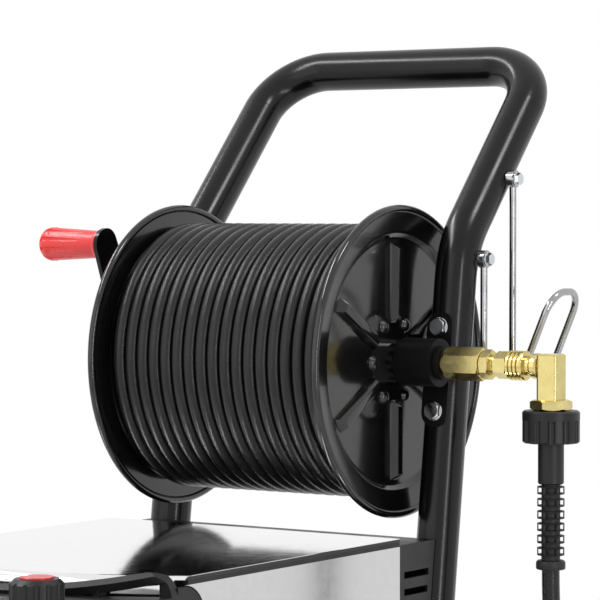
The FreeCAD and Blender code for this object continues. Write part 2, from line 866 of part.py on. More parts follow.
def hose_winding():
    wire = winding_wire()
    start = wire.Edges[0].Vertexes[0].Point
    ahead = wire.Edges[0].tangentAt(wire.Edges[0].FirstParameter)
    across = ahead.cross(FreeCAD.Vector(1, 0, 0)).normalize()
    beside = ahead.cross(across)
    radius = value("hose_diameter") / 2
    corners = [start + (across * math.cos(angle) + beside * math.sin(angle)) * radius
               for angle in (math.radians(22.5 + 45 * step) for step in range(8))]
    section = Part.makePolygon(corners + corners[:1])
    tube = wire.makePipeShell([section], True, False)
    area = 2 * math.sqrt(2) * radius * radius
    print(f"hose_winding volume {tube.Volume:.0f}, section times length {area * wire.Length:.0f}, "
          f"length {wire.Length:.0f}")
    print(f"hose_winding least gap to itself {least_gap(wire, 2 * radius):.2f}")
    return solid_feature("hose_winding", tube)


def least_gap(wire, diameter):
    """Nearest approach of points half a turn or more apart along the tube, less its diameter."""
    count = 4000
    points = wire.discretize(Number=count)
    step = wire.Length / (count - 1)
    skip = int(math.pi * value("hose_radius_on_drum") / step)
    least = min((points[one] - points[two]).Length
                for one in range(len(points))
                for two in range(one + skip, min(one + 3 * skip, count)))
    return least - diameter


def hose_core():
    """Inner layers of the hose, as one plain sleeve."""
    piece = turned("hose_core", box_loop(
        "loose_clearance - drum_half_width", "drum_half_width - loose_clearance",
        "drum_diameter / 2 + loose_clearance",
        "hose_radius_on_drum - hose_diameter / 2 - loose_clearance"), z="axis_height")
    return piece


def hose_fitting():
    """Crimped ferrule and plug for the lance, on the outer end of the hose."""
    angle = value("hose_turns") * 2 * math.pi
    spot, way = winding_point(angle)
    base = spot + way * value("hose_diameter")
    ferrule = Part.makeCylinder(value("ferrule_diameter") / 2, value("ferrule_length"), base, way)
    tip = base + way * value("ferrule_length")
    plug = Part.makeCylinder(value("plug_diameter") / 2, value("plug_length"), tip, way)
    bore = Part.makeCylinder(value("plug_bore") / 2, value("plug_length"), tip, way)
    return solid_feature("hose_end_fitting", ferrule.fuse(plug).cut(bore))


# Crank: flat arm, nut, pin and the fluted red grip that spins on the pin
CRANK_Y = "crank_radius * cos(crank_angle)"
CRANK_Z = "crank_radius * sin(crank_angle)"


def crank_arm():
    piece = body("crank_arm", z="axis_height", tilt="crank_angle - 90")
    tip = "crank_width / 2"
    hub = "crank_hub_width / 2"
    outline = route(piece, "YZ_Plane", [
        (f"-{hub}", f"-{hub}"), (hub, f"-{hub}"), (tip, f"crank_radius + {tip}"), (f"-{tip}",
            f"crank_radius + {tip}")],
        "crank_corner", closed=True, offset="-shaft_left_reach - crank_thickness")
    pad(piece, outline, "crank_thickness")
    holes = sketch(piece, "YZ_Plane", ("circle", "0", "0", "shaft_tip_diameter / 2 + running_clearance"),
                   offset="-shaft_left_reach - crank_thickness")
    pocket(piece, holes, "crank_thickness * 3", both=True)
    return piece


def crank_nut():
    piece = body("crank_nut", z="axis_height")
    pad(piece, sketch(piece, "YZ_Plane", hexagon("crank_nut_across"),
                      ("circle", "0", "0", "shaft_tip_diameter / 2 + running_clearance"),
                      offset="-shaft_left_reach - crank_thickness - crank_nut_height"), "crank_nut_height")
    return piece


def grip_pin():
    inner = "-shaft_left_reach - crank_thickness"
    outer = "-shaft_left_reach - crank_thickness - free_clearance - grip_length"
    return turned("grip_pin", [
        (inner, "0"), (inner, "grip_pin_diameter / 2 + 3"), (f"{inner} - free_clearance / 2",
            "grip_pin_diameter / 2 + 3"),
        (f"{inner} - free_clearance / 2", "grip_pin_diameter / 2"),
        (f"{outer} + grip_cap + free_clearance", "grip_pin_diameter / 2"),
        (f"{outer} + grip_cap + free_clearance", "0")],
        y=CRANK_Y, z=f"axis_height + {CRANK_Z}")


def crank_grip():
    piece = body("crank_grip", y=CRANK_Y, z=f"axis_height + {CRANK_Z}")
    start = "-shaft_left_reach - crank_thickness - free_clearance"
    radius = "grip_diameter / 2"
    bore = "grip_pin_diameter / 2 + running_clearance"
    turn(piece, sketch(piece, "XZ_Plane", [
        (start, bore), (start, "grip_flare_diameter / 2"), (f"{start} - 2", "grip_flare_diameter / 2"),
        (f"{start} - 5", "grip_waist_diameter / 2"), (f"{start} - grip_length * 0.78", radius),
        ("via", f"{start} - grip_length * 0.96", f"{radius} * 0.76"), (f"{start} - grip_length", "grip_tip"),
        (f"{start} - grip_length", "0"), (f"{start} - grip_length + grip_cap", "0"),
        (f"{start} - grip_length + grip_cap", bore)]), "X_Axis")
    flute = pocket(piece, sketch(piece, "YZ_Plane", (
        "circle", "0", "grip_diameter / 2 + 0.4", "grip_flute_diameter / 2"),
        offset=f"{start} - grip_length + 6"),
        "grip_length - 14", back=True)
    around(piece, flute, "X_Axis", "grip_flutes")
    return piece


# Swivel and coupler on the right end of the shaft
def swivel_body():
    piece = body("swivel_body", z="axis_height")
    length = "swivel_end - swivel_start"
    pad(piece, sketch(piece, "YZ_Plane", hexagon("swivel_across"), offset="swivel_start"), length)
    turn(piece, sketch(piece, "XZ_Plane", box_loop(
        "swivel_end - 2", "coupler_start", "0", "swivel_neck_diameter / 2")), "X_Axis")
    pocket(piece, sketch(piece, "YZ_Plane", ("circle", "0", "0", "shaft_diameter / 2 + running_clearance"),
                         offset="swivel_start"), "shaft_right_reach - swivel_start + free_clearance",
                         back=True)
    return piece


def swivel_nut():
    piece = body("swivel_nut", z="axis_height")
    start = "swivel_end + loose_clearance"
    bore = ("circle", "0", "0", "swivel_neck_diameter / 2 + loose_clearance / 2")
    pad(piece, sketch(piece, "YZ_Plane", hexagon("swivel_nut_across"), bore, offset=start),
        "swivel_nut_length * 0.6")
    pad(piece, sketch(piece, "YZ_Plane", ("circle", "0", "0", "swivel_nut_across * 0.54"), bore,
                      offset=f"{start} + swivel_nut_length * 0.6"), "swivel_nut_length * 0.4")
    return piece


def coupler_body():
    piece = body("coupler_body", z="axis_height")
    pad(piece, sketch(piece, "YZ_Plane", hexagon("coupler_across"), offset="coupler_start"),
        "coupler_hex_length")
    neck = "coupler_neck_diameter / 2"
    hex_end = "coupler_start + coupler_hex_length"
    stop = f"({hex_end} + loose_clearance + sleeve_length + sleeve_travel + 1.2)"
    turn(piece, sketch(piece, "XZ_Plane", [
        (f"{hex_end} - 2", "0"), (f"{hex_end} - 2", neck), (stop, neck),
        (stop, f"{neck} - 1.5"), (f"{stop} + 2", f"{neck} - 1.5"),
        ("via", "coupler_end - 3.5", f"{neck} + 1"), ("coupler_end", f"{neck} - 1.5"), ("coupler_end",
            "0")]), "X_Axis")
    return piece


def coupler_sleeve():
    start = "(coupler_start + coupler_hex_length + loose_clearance)"
    radius = "sleeve_diameter / 2"
    bore = "coupler_neck_diameter / 2 + running_clearance"
    profile = [(f"{start} + sleeve_length", bore), (start, bore), (start, f"{radius} - 1")]
    for number in range(4):
        near = f"{start} + sleeve_length * {number} / 4"
        profile += [(f"{near} + 0.8", radius), (f"{near} + sleeve_length / 4 - 1.2", radius)]
        if number < 3:
            profile += [(f"{near} + sleeve_length / 4 - 0.8", f"{radius} - sleeve_groove"),
                        (f"{near} + sleeve_length / 4 + 0.2", f"{radius} - sleeve_groove")]
    profile += [(f"{start} + sleeve_length", f"{radius} - 1")]
    return turned("coupler_sleeve", profile, z="axis_height")


# Elbow and what hangs from it: lock nut, knurled hose nut, hose tail and strain relief
ELBOW_X = "(coupler_end + elbow_side / 2)"
NUT_TOP = "(axis_height - elbow_drop)"
TAIL_TOP = "(axis_height - elbow_drop - elbow_nut_height)"
RELIEF_TOP = "(axis_height - elbow_drop - elbow_nut_height - hose_tail_length)"
RELIEF_END = "(axis_height - elbow_drop - elbow_nut_height - hose_tail_length - relief_length)"


def elbow():
    piece = body("elbow", x=ELBOW_X, z="axis_height")
    half = "elbow_side / 2"
    pad(piece, sketch(piece, "XY_Plane", box_loop(f"-{half}", half, f"-{half}", half),
                      offset="-elbow_drop"), "elbow_drop + elbow_top")
    round_edges(piece, "3", along(FreeCAD.Vector(0, 0, 1)))
    chamfer_edges(piece, "1.5", lambda edge: edge.BoundBox.ZMin > value("elbow_top") - 0.01)
    return piece


def elbow_nut():
    piece = body("elbow_nut", x=ELBOW_X, z=f"{NUT_TOP} - elbow_nut_height")
    pad(piece, sketch(piece, "XY_Plane", hexagon("elbow_nut_across")), "elbow_nut_height")
    return piece


def hose_nut():
    piece = body("hose_nut", x=ELBOW_X, z=f"{TAIL_TOP} - loose_clearance")
    radius = "hose_nut_diameter / 2"
    bore = "hose_tail_diameter / 2 + running_clearance"
    turn(piece, sketch(piece, "XZ_Plane", [
        (bore, "0"), (f"{radius} - 1.5", "0"), (radius, "-1.5"), (radius, "1.5 - hose_nut_height"),
        (f"{radius} - 1.5", "-hose_nut_height"), (bore, "-hose_nut_height")]), "Z_Axis")
    flute = pocket(piece, sketch(piece, "XY_Plane", (
        "circle", "hose_nut_diameter / 2 + 1", "0", "hose_nut_flute_diameter / 2"),
        offset="-hose_nut_height"), "hose_nut_height - hose_nut_band", back=True)
    around(piece, flute, "Z_Axis", "hose_nut_flutes")
    return piece


def hose_tail():
    radius = "hose_tail_diameter / 2"
    return turned("hose_tail", [
        ("0", "0"), ("0", "-hose_tail_length"), (f"{radius} - 1", "-hose_tail_length"),
        (radius, "1 - hose_tail_length"), (radius, "0")], "Z_Axis", x=ELBOW_X, z=TAIL_TOP)


def strain_relief():
    radius = "relief_diameter / 2"
    root = "relief_root_diameter / 2"
    pitch = "(relief_length - relief_collar) / (relief_ribs + 0.5)"
    profile = [("0", "0"), (root, "0")]
    for number in range(round(value("relief_ribs"))):
        top = f"-({number} + 0.5) * {pitch}"
        profile += [(root, top), (radius, f"{top} - 1"), (radius, f"{top} - {pitch} * 0.5 + 1"),
                    (root, f"{top} - {pitch} * 0.5")]
    profile += [(root, "relief_collar - relief_length"), (f"{radius} + 1",
                                                          "relief_collar - relief_length - 1"),
                (f"{radius} + 1", "1 - relief_length"), (radius, "-relief_length"), ("0", "-relief_length")]
    return turned("strain_relief", profile, "Z_Axis", x=ELBOW_X, z=RELIEF_TOP)


# Jumper hose: hangs from the strain relief and sweeps forward into the pump's outlet
JUMPER_SHARES = (
    (0, 0, 0.178), (-0.0615, -0.0275, 0.361), (-0.077, -0.008, 0.544), (0.046, 0.086, 0.704),
    (0.277, 0.235, 0.820), (0.554, 0.412, 0.905), (0.815, 0.596, 0.967), (1, 0.8235, 1))


def jumper_route():
    """Each share is how far across, forward and down a point lies on the way to the outlet's nut."""
    start = FreeCAD.Vector(value(ELBOW_X), 0, value(RELIEF_END))
    end = FreeCAD.Vector(value("outlet_x"),
                         value("outlet_y + outlet_arm + jumper_nut_length + jumper_ferrule_length"),
                         value("pump_height"))
    way = end - start
    between = [tuple(start + FreeCAD.Vector(way.x * across, way.y * forward, way.z * down))
               for across, forward, down in JUMPER_SHARES]
    return [tuple(start), *between, tuple(end)]


def jumper_hose():
    points = jumper_route()
    radii = largest_radii(points)
    print("jumper_hose radii", [round(radius) for radius in radii])
    wire = bent_wire(points, radii)
    diameter = value("jumper_diameter")
    tube = round_tube(wire, diameter)
    print(f"jumper_hose volume {tube.Volume:.0f}, section times length "
          f"{math.pi * diameter ** 2 / 4 * wire.Length:.0f}, length {wire.Length:.0f}")
    return solid_feature("jumper_hose", tube)


# Chrome lance hook: one wire bolted to the right leg, with a closed loop beside the reel
def lance_hook():
    inner = value(HOOK_X)
    outer = inner + value("hook_reach") - value("tube_diameter / 2")
    low = value("axis_height + hook_low")
    high = value("axis_height + hook_high")
    front = value("hook_front_y")
    rear = value("hook_rear_y")
    bend = value("hook_bend_radius")
    front_eye = FreeCAD.Vector(inner, front, value("axis_height + hook_front_z"))
    rear_eye = FreeCAD.Vector(inner, rear, value("axis_height + hook_rear_z"))
    top = outer + value("hook_lean")
    points = [tuple(front_eye), (inner, front, low),
              (outer, front + 4, low), (top, front + 4, high), (top, rear + 4, high),
              (outer, rear + 4, low), (inner, rear, low), tuple(rear_eye)]
    loop_bend = value("hook_loop_radius")
    hook = round_tube(bent_wire(points, (bend, bend, loop_bend, loop_bend, bend, bend)), value("hook_wire"))
    thick = value("hook_wire")
    along_x = FreeCAD.Vector(1, 0, 0)
    for eye in (front_eye, rear_eye):
        face = eye - along_x * (thick / 2)
        hook = hook.fuse(Part.makeCylinder(value("hook_eye_diameter") / 2, thick, face, along_x))
    for eye in (front_eye, rear_eye):
        start = eye - along_x * (thick * 2)
        hole = value("hook_bolt_diameter") / 2 + value("loose_clearance")
        hook = hook.cut(Part.makeCylinder(hole, thick * 4, start, along_x))
    return solid_feature("lance_hook", hook)


# Stainless cabinet
def lid_plan(inset, rear):
    half = f"(cabinet_half_width - {inset})"
    front = f"lid_front + {inset}"
    return [(f"-{half}", rear), (f"-{half}", front), ("via", "0", f"lid_nose + {inset}"), (half, front),
            (half, rear)]


def top_lid():
    """Folded sheet: top with short side folds and a deeper front fold that follows the cowl's arch."""
    piece = body("top_lid", z="lid_height")
    pad(piece, sketch(piece, "XY_Plane", lid_plan("0", "lid_rear"), offset="-lid_front_fold"),
        "lid_front_fold")
    pocket(piece, sketch(piece, "XY_Plane", lid_plan("cabinet_sheet", "lid_rear + 1"),
                         offset="-cabinet_sheet"), "lid_front_fold")
    for radius, height in (("lid_front_radius - cabinet_sheet", "-cabinet_sheet"), ("lid_front_radius", "0")):
        round_edges(piece, radius, lambda edge: edge.BoundBox.ZMin > value(height) - 0.01
                    and edge.BoundBox.ZMax < value(height) + 0.01
                    and edge.BoundBox.YMin < value("lid_nose") + 10 and edge.BoundBox.XLength > 100)
    pocket(piece, sketch(piece, "XZ_Plane", *[box_loop(
        f"{side} * (cabinet_half_width - lid_corner)", f"{side} * (cabinet_half_width + 1)",
        "-lid_front_fold - 1",
        "-lid_fold") for side in ("-1", "1")], offset="lid_rear + 1"), "lid_rear - lid_nose + 4", back=True)
    return piece


def lid_seal():
    """Black strip that shows as the dark seam between the lid and the sides."""
    piece = body("lid_seal", z="lid_height - lid_fold")
    outer = "(cabinet_half_width - 0.5)"
    for side in ("-1", "1"):
        pad(piece, sketch(piece, "XY_Plane", box_loop(
            f"{side} * ({outer} - seam_depth)", f"{side} * {outer}", "lid_front + 5", "lid_rear"),
            offset="-seam_height"), "seam_height")
    pad(piece, sketch(piece, "XY_Plane", box_loop(
        f"-{outer}", outer, "lid_rear - seam_depth", "lid_rear"), offset="-seam_height"), "seam_height")
    return piece


def side_panel(name, side):
    piece = body(f"{name}_side_panel", z="side_bottom")
    top = "(lid_height - lid_fold - seam_height - side_bottom)"
    cut = "side_cut_radius"
    pad(piece, sketch(piece, "YZ_Plane", [
        ("side_front", "0"), ("side_front", f"{top} - {cut}"),
        ("via", f"side_front - {cut} + {cut} * cos(45)", f"{top} - {cut} + {cut} * sin(45)"),
        (f"side_front - {cut}", top), ("lid_rear", top), ("lid_rear", "0")],
        offset=f"{side} * (cabinet_half_width - cabinet_sheet / 2) - cabinet_sheet / 2"), "cabinet_sheet")
    hole = sketch(piece, "YZ_Plane", ("circle", "outlet_y", "pump_height - side_bottom",
                                      "outlet_pipe_diameter / 2 + free_clearance"),
                  offset=f"{side} * cabinet_half_width")
    pocket(piece, hole, "cabinet_sheet * 4", both=True)
    return piece


# Rear cowl: black moulding between the cabinet and the legs, with louvres on both sides
def rear_cowl():
    piece = body("rear_cowl")
    top = "(lid_height - cowl_top_drop)"
    bottom = "(tray_bottom + 65)"
    behind = "leg_offset - tube_diameter / 2 / cos(leg_lean) - cowl_leg_gap"
    rear_top = f"{behind} - (axis_height - {top}) * tan(leg_lean)"
    rear_low = f"{behind} - (axis_height - {bottom}) * tan(leg_lean)"
    wall = "cowl_wall"
    front = "(lid_rear + 0.3)"
    pad(piece, sketch(piece, "YZ_Plane", [
        (front, bottom), (rear_low, bottom), (rear_top, top), (front, top)]), "2 * cabinet_half_width",
        both=True)
    pocket(piece, sketch(piece, "YZ_Plane", [
        (f"{front} - 1", f"{bottom} - 1"), (f"{rear_low} - {wall}", f"{bottom} - 1"),
        (f"{rear_top} - {wall}", f"{top} - {wall}"), (f"{front} - 1", f"{top} - {wall}")]),
        f"2 * (cabinet_half_width - {wall})", both=True)
    slots = []
    for number in range(round(value("louvre_count"))):
        low = f"({top} - louvre_first - {number} * louvre_pitch)"
        rear = f"leg_offset - (axis_height - {low}) * tan(leg_lean) - tube_diameter / 2 / cos(leg_lean)"
        slots.append(box_loop(f"{front} + louvre_margin", f"{rear} - cowl_leg_gap - louvre_margin",
                              low, f"{low} + louvre_height"))
    pocket(piece, sketch(piece, "YZ_Plane", *slots), "2 * cabinet_half_width + 2", both=True)
    return piece


# Base tray, axle, brackets and wheels
def base_tray():
    piece = body("base_tray", z="tray_bottom")
    half = "cabinet_half_width"
    height = "(side_bottom - tray_bottom)"
    outline = route(piece, "XY_Plane", box_loop(f"-{half}", half, "tray_front", "tray_rear"), "12",
                    closed=True)
    pad(piece, outline, height)
    inside = sketch(piece, "XY_Plane", box_loop(
        f"tray_wall - {half}", f"{half} - tray_wall", "tray_front + tray_wall", "tray_rear - tray_wall"),
        offset="tray_wall")
    pocket(piece, inside, height, back=True)
    return piece


def axle_bracket(name, start):
    """Plate between the leg, the tray and the axle."""
    piece = body(f"{name}_axle_bracket")
    plate = sketch(piece, "YZ_Plane", [
        ("axle_y - axle_bracket_length / 2", "tray_bottom"), ("axle_y - 20", "wheel_diameter / 2 - 20"),
        ("axle_y + 20", "wheel_diameter / 2 - 20"), ("axle_y + axle_bracket_length / 2",
                                                     "leg_foot_height + 5"),
        ("axle_y + axle_bracket_length / 2", "tray_bottom")],
        ("circle", "axle_y", "wheel_diameter / 2", "axle_diameter / 2 + running_clearance"), offset=start)
    pad(piece, plate, "axle_bracket_thickness")
    return piece


def axle_brackets():
    outer = "(leg_half_spacing - tube_diameter / 2)"
    return group("axle_brackets", [axle_bracket("left", f"-{outer}"),
                                   axle_bracket("right", f"{outer} - axle_bracket_thickness")])


def axle():
    return turned("axle", box_loop("-axle_reach", "axle_reach", "0", "axle_diameter / 2"),
                  y="axle_y", z="wheel_diameter / 2")


def tyre(name, side):
    inner = "rim_diameter / 2"
    outer = "wheel_diameter / 2"
    near = "wheel_inner_face"
    far = "wheel_inner_face + wheel_width"
    profile = [(near, f"{inner} + 4"), (f"{near} + 3", inner), (f"{far} - 3", inner), (far, f"{inner} + 4"),
               ("via", f"{far} + 2", f"{inner} + 18"), (f"{far} - 7", f"{outer} - 2")]
    for number in range(3, -1, -1):
        middle = f"{near} + wheel_width * {number + 1} / 5"
        profile += [(f"{middle} + 2", outer), (f"{middle} + 1.5", f"{outer} - tread_depth"),
                    (f"{middle} - 1.5", f"{outer} - tread_depth"), (f"{middle} - 2", outer)]
    profile += [(f"{near} + 7", f"{outer} - 2"), ("via", f"{near} - 2", f"{inner} + 18")]
    return turned(f"{name}_tyre", [(p[0], f"{side} * ({p[1]})",
                                    p[2]) if p[0] == "via" else (f"{side} * ({p[0]})", p[1])
                                   for p in profile], y="axle_y", z="wheel_diameter / 2")


def rim(name, side):
    piece = body(f"{name}_rim", y="axle_y", z="wheel_diameter / 2")
    outer = "rim_diameter / 2 - loose_clearance"
    near = "wheel_inner_face"
    far = "wheel_inner_face + wheel_width"
    middle = "wheel_inner_face + wheel_width / 2"
    hub = "rim_hub_diameter / 2"
    bore = "axle_diameter / 2 + running_clearance"
    profile = [
        (near, bore), (far, bore), (far, hub), (f"{middle} + rim_wall / 2", f"{hub} + 4"),
        (f"{middle} + rim_wall / 2", f"{outer} - rim_wall - 4"), (f"{far} - 4", f"{outer} - rim_wall"),
        (f"{far} - 4", outer), (f"{near} + 4", outer), (f"{near} + 4", f"{outer} - rim_wall"),
        (f"{middle} - rim_wall / 2", f"{outer} - rim_wall - 4"), (f"{middle} - rim_wall / 2", f"{hub} + 4"),
        (near, hub)]
    turn(piece, sketch(piece, "XZ_Plane", [(f"{side} * ({x})", r) for x, r in profile]), "X_Axis")
    window = pocket(piece, sketch(piece, "YZ_Plane", ("circle", "0", "rim_window_circle",
                                                      "rim_window_diameter / 2"),
                                  offset=f"{side} * ({middle})"), "rim_wall * 3", both=True)
    around(piece, window, "X_Axis", "rim_windows")
    return piece


def hub_caps():
    solids = []
    for name, side in SIDES:
        start = "wheel_inner_face + wheel_width + loose_clearance"
        x = f"-({start} + 7)" if name == "left" else start
        outer = cylinder(f"{name}_cap_outside", "rim_hub_diameter / 2 - 2", "7", x, "axle_y",
                         "wheel_diameter / 2",
                         "90", (0, 1, 0))
        reach = "axle_reach - (wheel_inner_face + wheel_width)"
        inner = cylinder(f"{name}_cap_bore", "axle_diameter / 2 + running_clearance", reach,
                         f"-(axle_reach)" if name == "left" else f"{start} - loose_clearance", "axle_y",
                         "wheel_diameter / 2", "90", (0, 1, 0))
        cap = doc.addObject("Part::Cut", f"{name}_cap")
        cap.Base = outer
        cap.Tool = inner
        solids.append(cap)
    return group("hub_caps", solids)


def front_stand():
    piece = body("front_stand", y="stand_y")
    spine = route(piece, "XZ_Plane", [
        ("-stand_half_width", "tray_bottom"), ("-stand_half_width", "stand_rise"),
        ("stand_half_width", "stand_rise"), ("stand_half_width", "tray_bottom")], "stand_corner")
    pipe(piece, sketch(piece, "XY_Plane", ("circle", "-stand_half_width", "0", "stand_tube / 2"),
                       ("circle", "-stand_half_width", "0", "stand_tube / 2 - tube_wall"),
                       offset="tray_bottom"), spine)
    return piece


def stand_pads():
    solids = []
    for name, side in SIDES:
        block = doc.addObject("Part::Box", f"{name}_pad_block")
        bind(block, "Length", "pad_half_length * 2")
        bind(block, "Width", "stand_tube + 10")
        bind(block, "Height", "stand_rise + 6")
        place(block, f"{side} * pad_spacing - pad_half_length", "stand_y - stand_tube / 2 - 5", "0")
        bore = cylinder(f"{name}_pad_bore", "stand_tube / 2 + loose_clearance", "pad_half_length * 2",
                        f"{side} * pad_spacing - pad_half_length", "stand_y", "stand_rise", "90", (0, 1, 0))
        pad_piece = doc.addObject("Part::Cut", f"{name}_pad")
        pad_piece.Base = block
        pad_piece.Tool = bore
        solids.append(pad_piece)
    return group("stand_pads", solids)


# Front cowl: moulded nose with a sloping fascia and the arched carry bar over its rear edge
def front_cowl():
    piece = body("front_cowl")
    half = "cabinet_half_width"
    outline = [(f"-{half}", "nose_rear"), (f"-{half}", "nose_side"),
               ("via", "0", "nose_front"), (half, "nose_side"), (half, "nose_rear")]
    pad(piece, sketch(piece, "XY_Plane", outline, offset="nose_bottom"), "nose_top - nose_bottom")
    slope = "(nose_front - 5 - bar_arc_front) * tan(nose_slope)"
    pocket(piece, sketch(piece, "YZ_Plane", [
        ("bar_arc_front", "nose_top"), ("bar_arc_front", "nose_top + 5"), ("nose_front - 5", "nose_top + 5"),
        ("nose_front - 5", f"nose_top + {slope}")]), f"2 * {half} + 4", both=True)
    round_edges(piece, "6", lambda edge: edge.BoundBox.YMin < value("nose_front") + 30
                and edge.BoundBox.ZMin > value("nose_top") - 40)
    wall = "nose_wall"
    inner = [(f"{wall} - {half}", "nose_rear + 1"), (f"{wall} - {half}", "nose_side"),
             ("via", "0", f"nose_front + {wall}"), (f"{half} - {wall}", "nose_side"),
             (f"{half} - {wall}", "nose_rear + 1")]
    pocket(piece, sketch(piece, "XY_Plane", inner, offset=f"nose_bottom + {wall}"),
           f"nose_top - nose_bottom - {wall} - crown_thickness", back=True)
    edge_y = arc_y("trough_half_width")
    pocket(piece, sketch(piece, "XY_Plane", [
        ("-trough_half_width", "nose_rear + 1"), ("-trough_half_width", edge_y),
        ("via", "0", "bar_arc_front"), ("trough_half_width", edge_y),
        ("trough_half_width", "nose_rear + 1")], offset="nose_top - trough_depth"), "trough_depth * 2",
        back=True)
    pad(piece, sketch(piece, "XY_Plane", ("circle", "knob_x", "knob_y", "knob_boss_diameter / 2"),
                      offset="nose_top - crown_thickness"), "knob_boss_top - nose_top + crown_thickness")
    pocket(piece, sketch(piece, "XY_Plane", ("circle", "knob_x", "knob_y",
                                             "stem_diameter / 2 + running_clearance"),
                         offset="nose_top - crown_thickness * 2"), "crown_thickness * 3", back=True)
    fascia_pocket(piece, ("circle", "0", "gauge_y / cos(nose_slope)",
                          "gauge_diameter / 2 - gauge_rim + loose_clearance"), "gauge_depth")
    width = "(switch_width / 2 + loose_clearance)"
    length = "(switch_length / 2 + loose_clearance)"
    middle = "switch_y / cos(nose_slope)"
    fascia_pocket(piece, box_loop(f"switch_x - {width}", f"switch_x + {width}",
                                  f"{middle} - {length}", f"{middle} + {length}"), "switch_depth + 3")
    carry_bar(piece)
    cheeks(piece)
    front_slots(piece)
    return piece


def arc_y(x):
    """Plan position of the carry bar's middle line at x."""
    return f"(bar_arc_front + (bar_arc_radius - sqrt(bar_arc_radius ^ 2 - ({x}) ^ 2)) * cos(bar_arc_tilt))"


def fascia_height(y):
    return f"(nose_top + ({y} - bar_arc_front) * tan(nose_slope))"


def fascia_pocket(piece, loop, depth):
    """Cuts square to the sloping fascia."""
    drawing = sketch(piece, "XY_Plane", loop)
    bind(drawing, "AttachmentOffset.Base.z", "nose_top - bar_arc_front * tan(nose_slope)")
    drawing.AttachmentOffset = FreeCAD.Placement(
        drawing.AttachmentOffset.Base, FreeCAD.Rotation(FreeCAD.Vector(1, 0, 0), value("nose_slope")))
    return pocket(piece, drawing, f"2 * ({depth})", both=True)


def carry_bar(piece):
    """The arched bar over the fascia's rear edge, on four posts that leave finger windows."""
    drawing = blank_sketch(piece, "YZ_Plane", "0")
    deep = "bar_section_depth / 2"
    high = "bar_section_height / 2"
    cos, sin = "cos(bar_arc_tilt)", "sin(bar_arc_tilt)"
    corners = []
    for a, b in ((-1, -1), (1, -1), (1, 1), (-1, 1)):
        corners.append((f"bar_arc_front + {a} * {deep} * {cos} - {b} * {high} * {sin}",
                        f"bar_arc_height + {a} * {deep} * {sin} + {b} * {high} * {cos}"))
    add_outline(drawing, corners)
    centre = (f"bar_arc_front + bar_arc_radius * {cos}", f"bar_arc_height + bar_arc_radius * {sin}")
    above = (f"{centre[0]} - 20 * {sin}", f"{centre[1]} + 20 * {cos}")
    axis = drawing.addGeometry(Part.LineSegment(flat(centre), flat(above)), True)
    pin_point(drawing, axis, 1, centre)
    pin_point(drawing, axis, 2, above)
    arc = piece.newObject("PartDesign::Revolution", "carry_bar")
    arc.Profile = drawing
    arc.ReferenceAxis = (drawing, ["Axis0"])
    bind(arc, "Angle", "2 * asin(cabinet_half_width / bar_arc_radius)")
    arc.Midplane = True
    for side in ("-1", "1"):
        for x, width in (("post_inner", "post_width"), ("post_outer", "post_outer_width")):
            middle = arc_y(x)
            rise = f"(bar_arc_height - nose_top + ({middle} - bar_arc_front) * tan(bar_arc_tilt))"
            pad(piece, sketch(piece, "XY_Plane", box_loop(
                f"{side} * {x} - {width} / 2", f"{side} * {x} + {width} / 2",
                f"{middle} - bar_section_depth / 2 + 1", f"{middle} + bar_section_depth / 2 - 1"),
                offset="nose_top - trough_depth"), f"trough_depth + {rise}")
    half = "cabinet_half_width"
    outside = [[
        (f"{side} * ({half} - 2 * bar_corner)", "lid_height + 20"), (f"{side} * ({half} - 2 * bar_corner)",
            "lid_height + 2.5"),
        ("via", f"{side} * ({half} - bar_corner / 2)", "lid_height - 1.5"), (f"{side} * {half}",
            "lid_height - bar_corner"),
        (f"{side} * {half}", "lid_height - 3 * bar_corner"), (f"{side} * ({half} + 12)",
            "lid_height - 3 * bar_corner"),
        (f"{side} * ({half} + 12)", "lid_height + 20")] for side in ("-1", "1")]
    pocket(piece, sketch(piece, "XZ_Plane", *outside, offset=f"{arc_y(half)} + 15"), "60", back=True)


def cheeks(piece):
    """Side walls that reach back under the lid, with rounded shoulders that the side panels are cut round."""
    top = "(lid_height - lid_fold - seam_height - cheek_gap)"
    rear = "(side_front - cheek_gap)"
    cut = "(side_cut_radius - cheek_gap)"
    for side in ("-1", "1"):
        pad(piece, sketch(piece, "YZ_Plane", [
            ("nose_rear - 1", "side_bottom + cheek_gap"), (rear, "side_bottom + cheek_gap"), (rear,
                f"{top} - {cut}"),
            ("via", f"{rear} - {cut} * (1 - cos(45))", f"{top} - {cut} * (1 - sin(45))"),
            (f"{rear} - {cut}", top), ("nose_rear - 1", top)],
            offset=f"{side} * (cabinet_half_width - nose_wall / 2) - nose_wall / 2"), "nose_wall")


def front_slots(piece):
    """Air slots low in the nose."""
    slots = [box_loop("-front_slot_half", "front_slot_half",
                      f"front_slot_first + front_slot_pitch * {number}",
                      f"front_slot_first + front_slot_pitch * {number} + front_slot_height")
             for number in range(SIZES["front_slot_count"])]
    pocket(piece, sketch(piece, "XZ_Plane", *slots, offset="nose_front - 5"), "28")


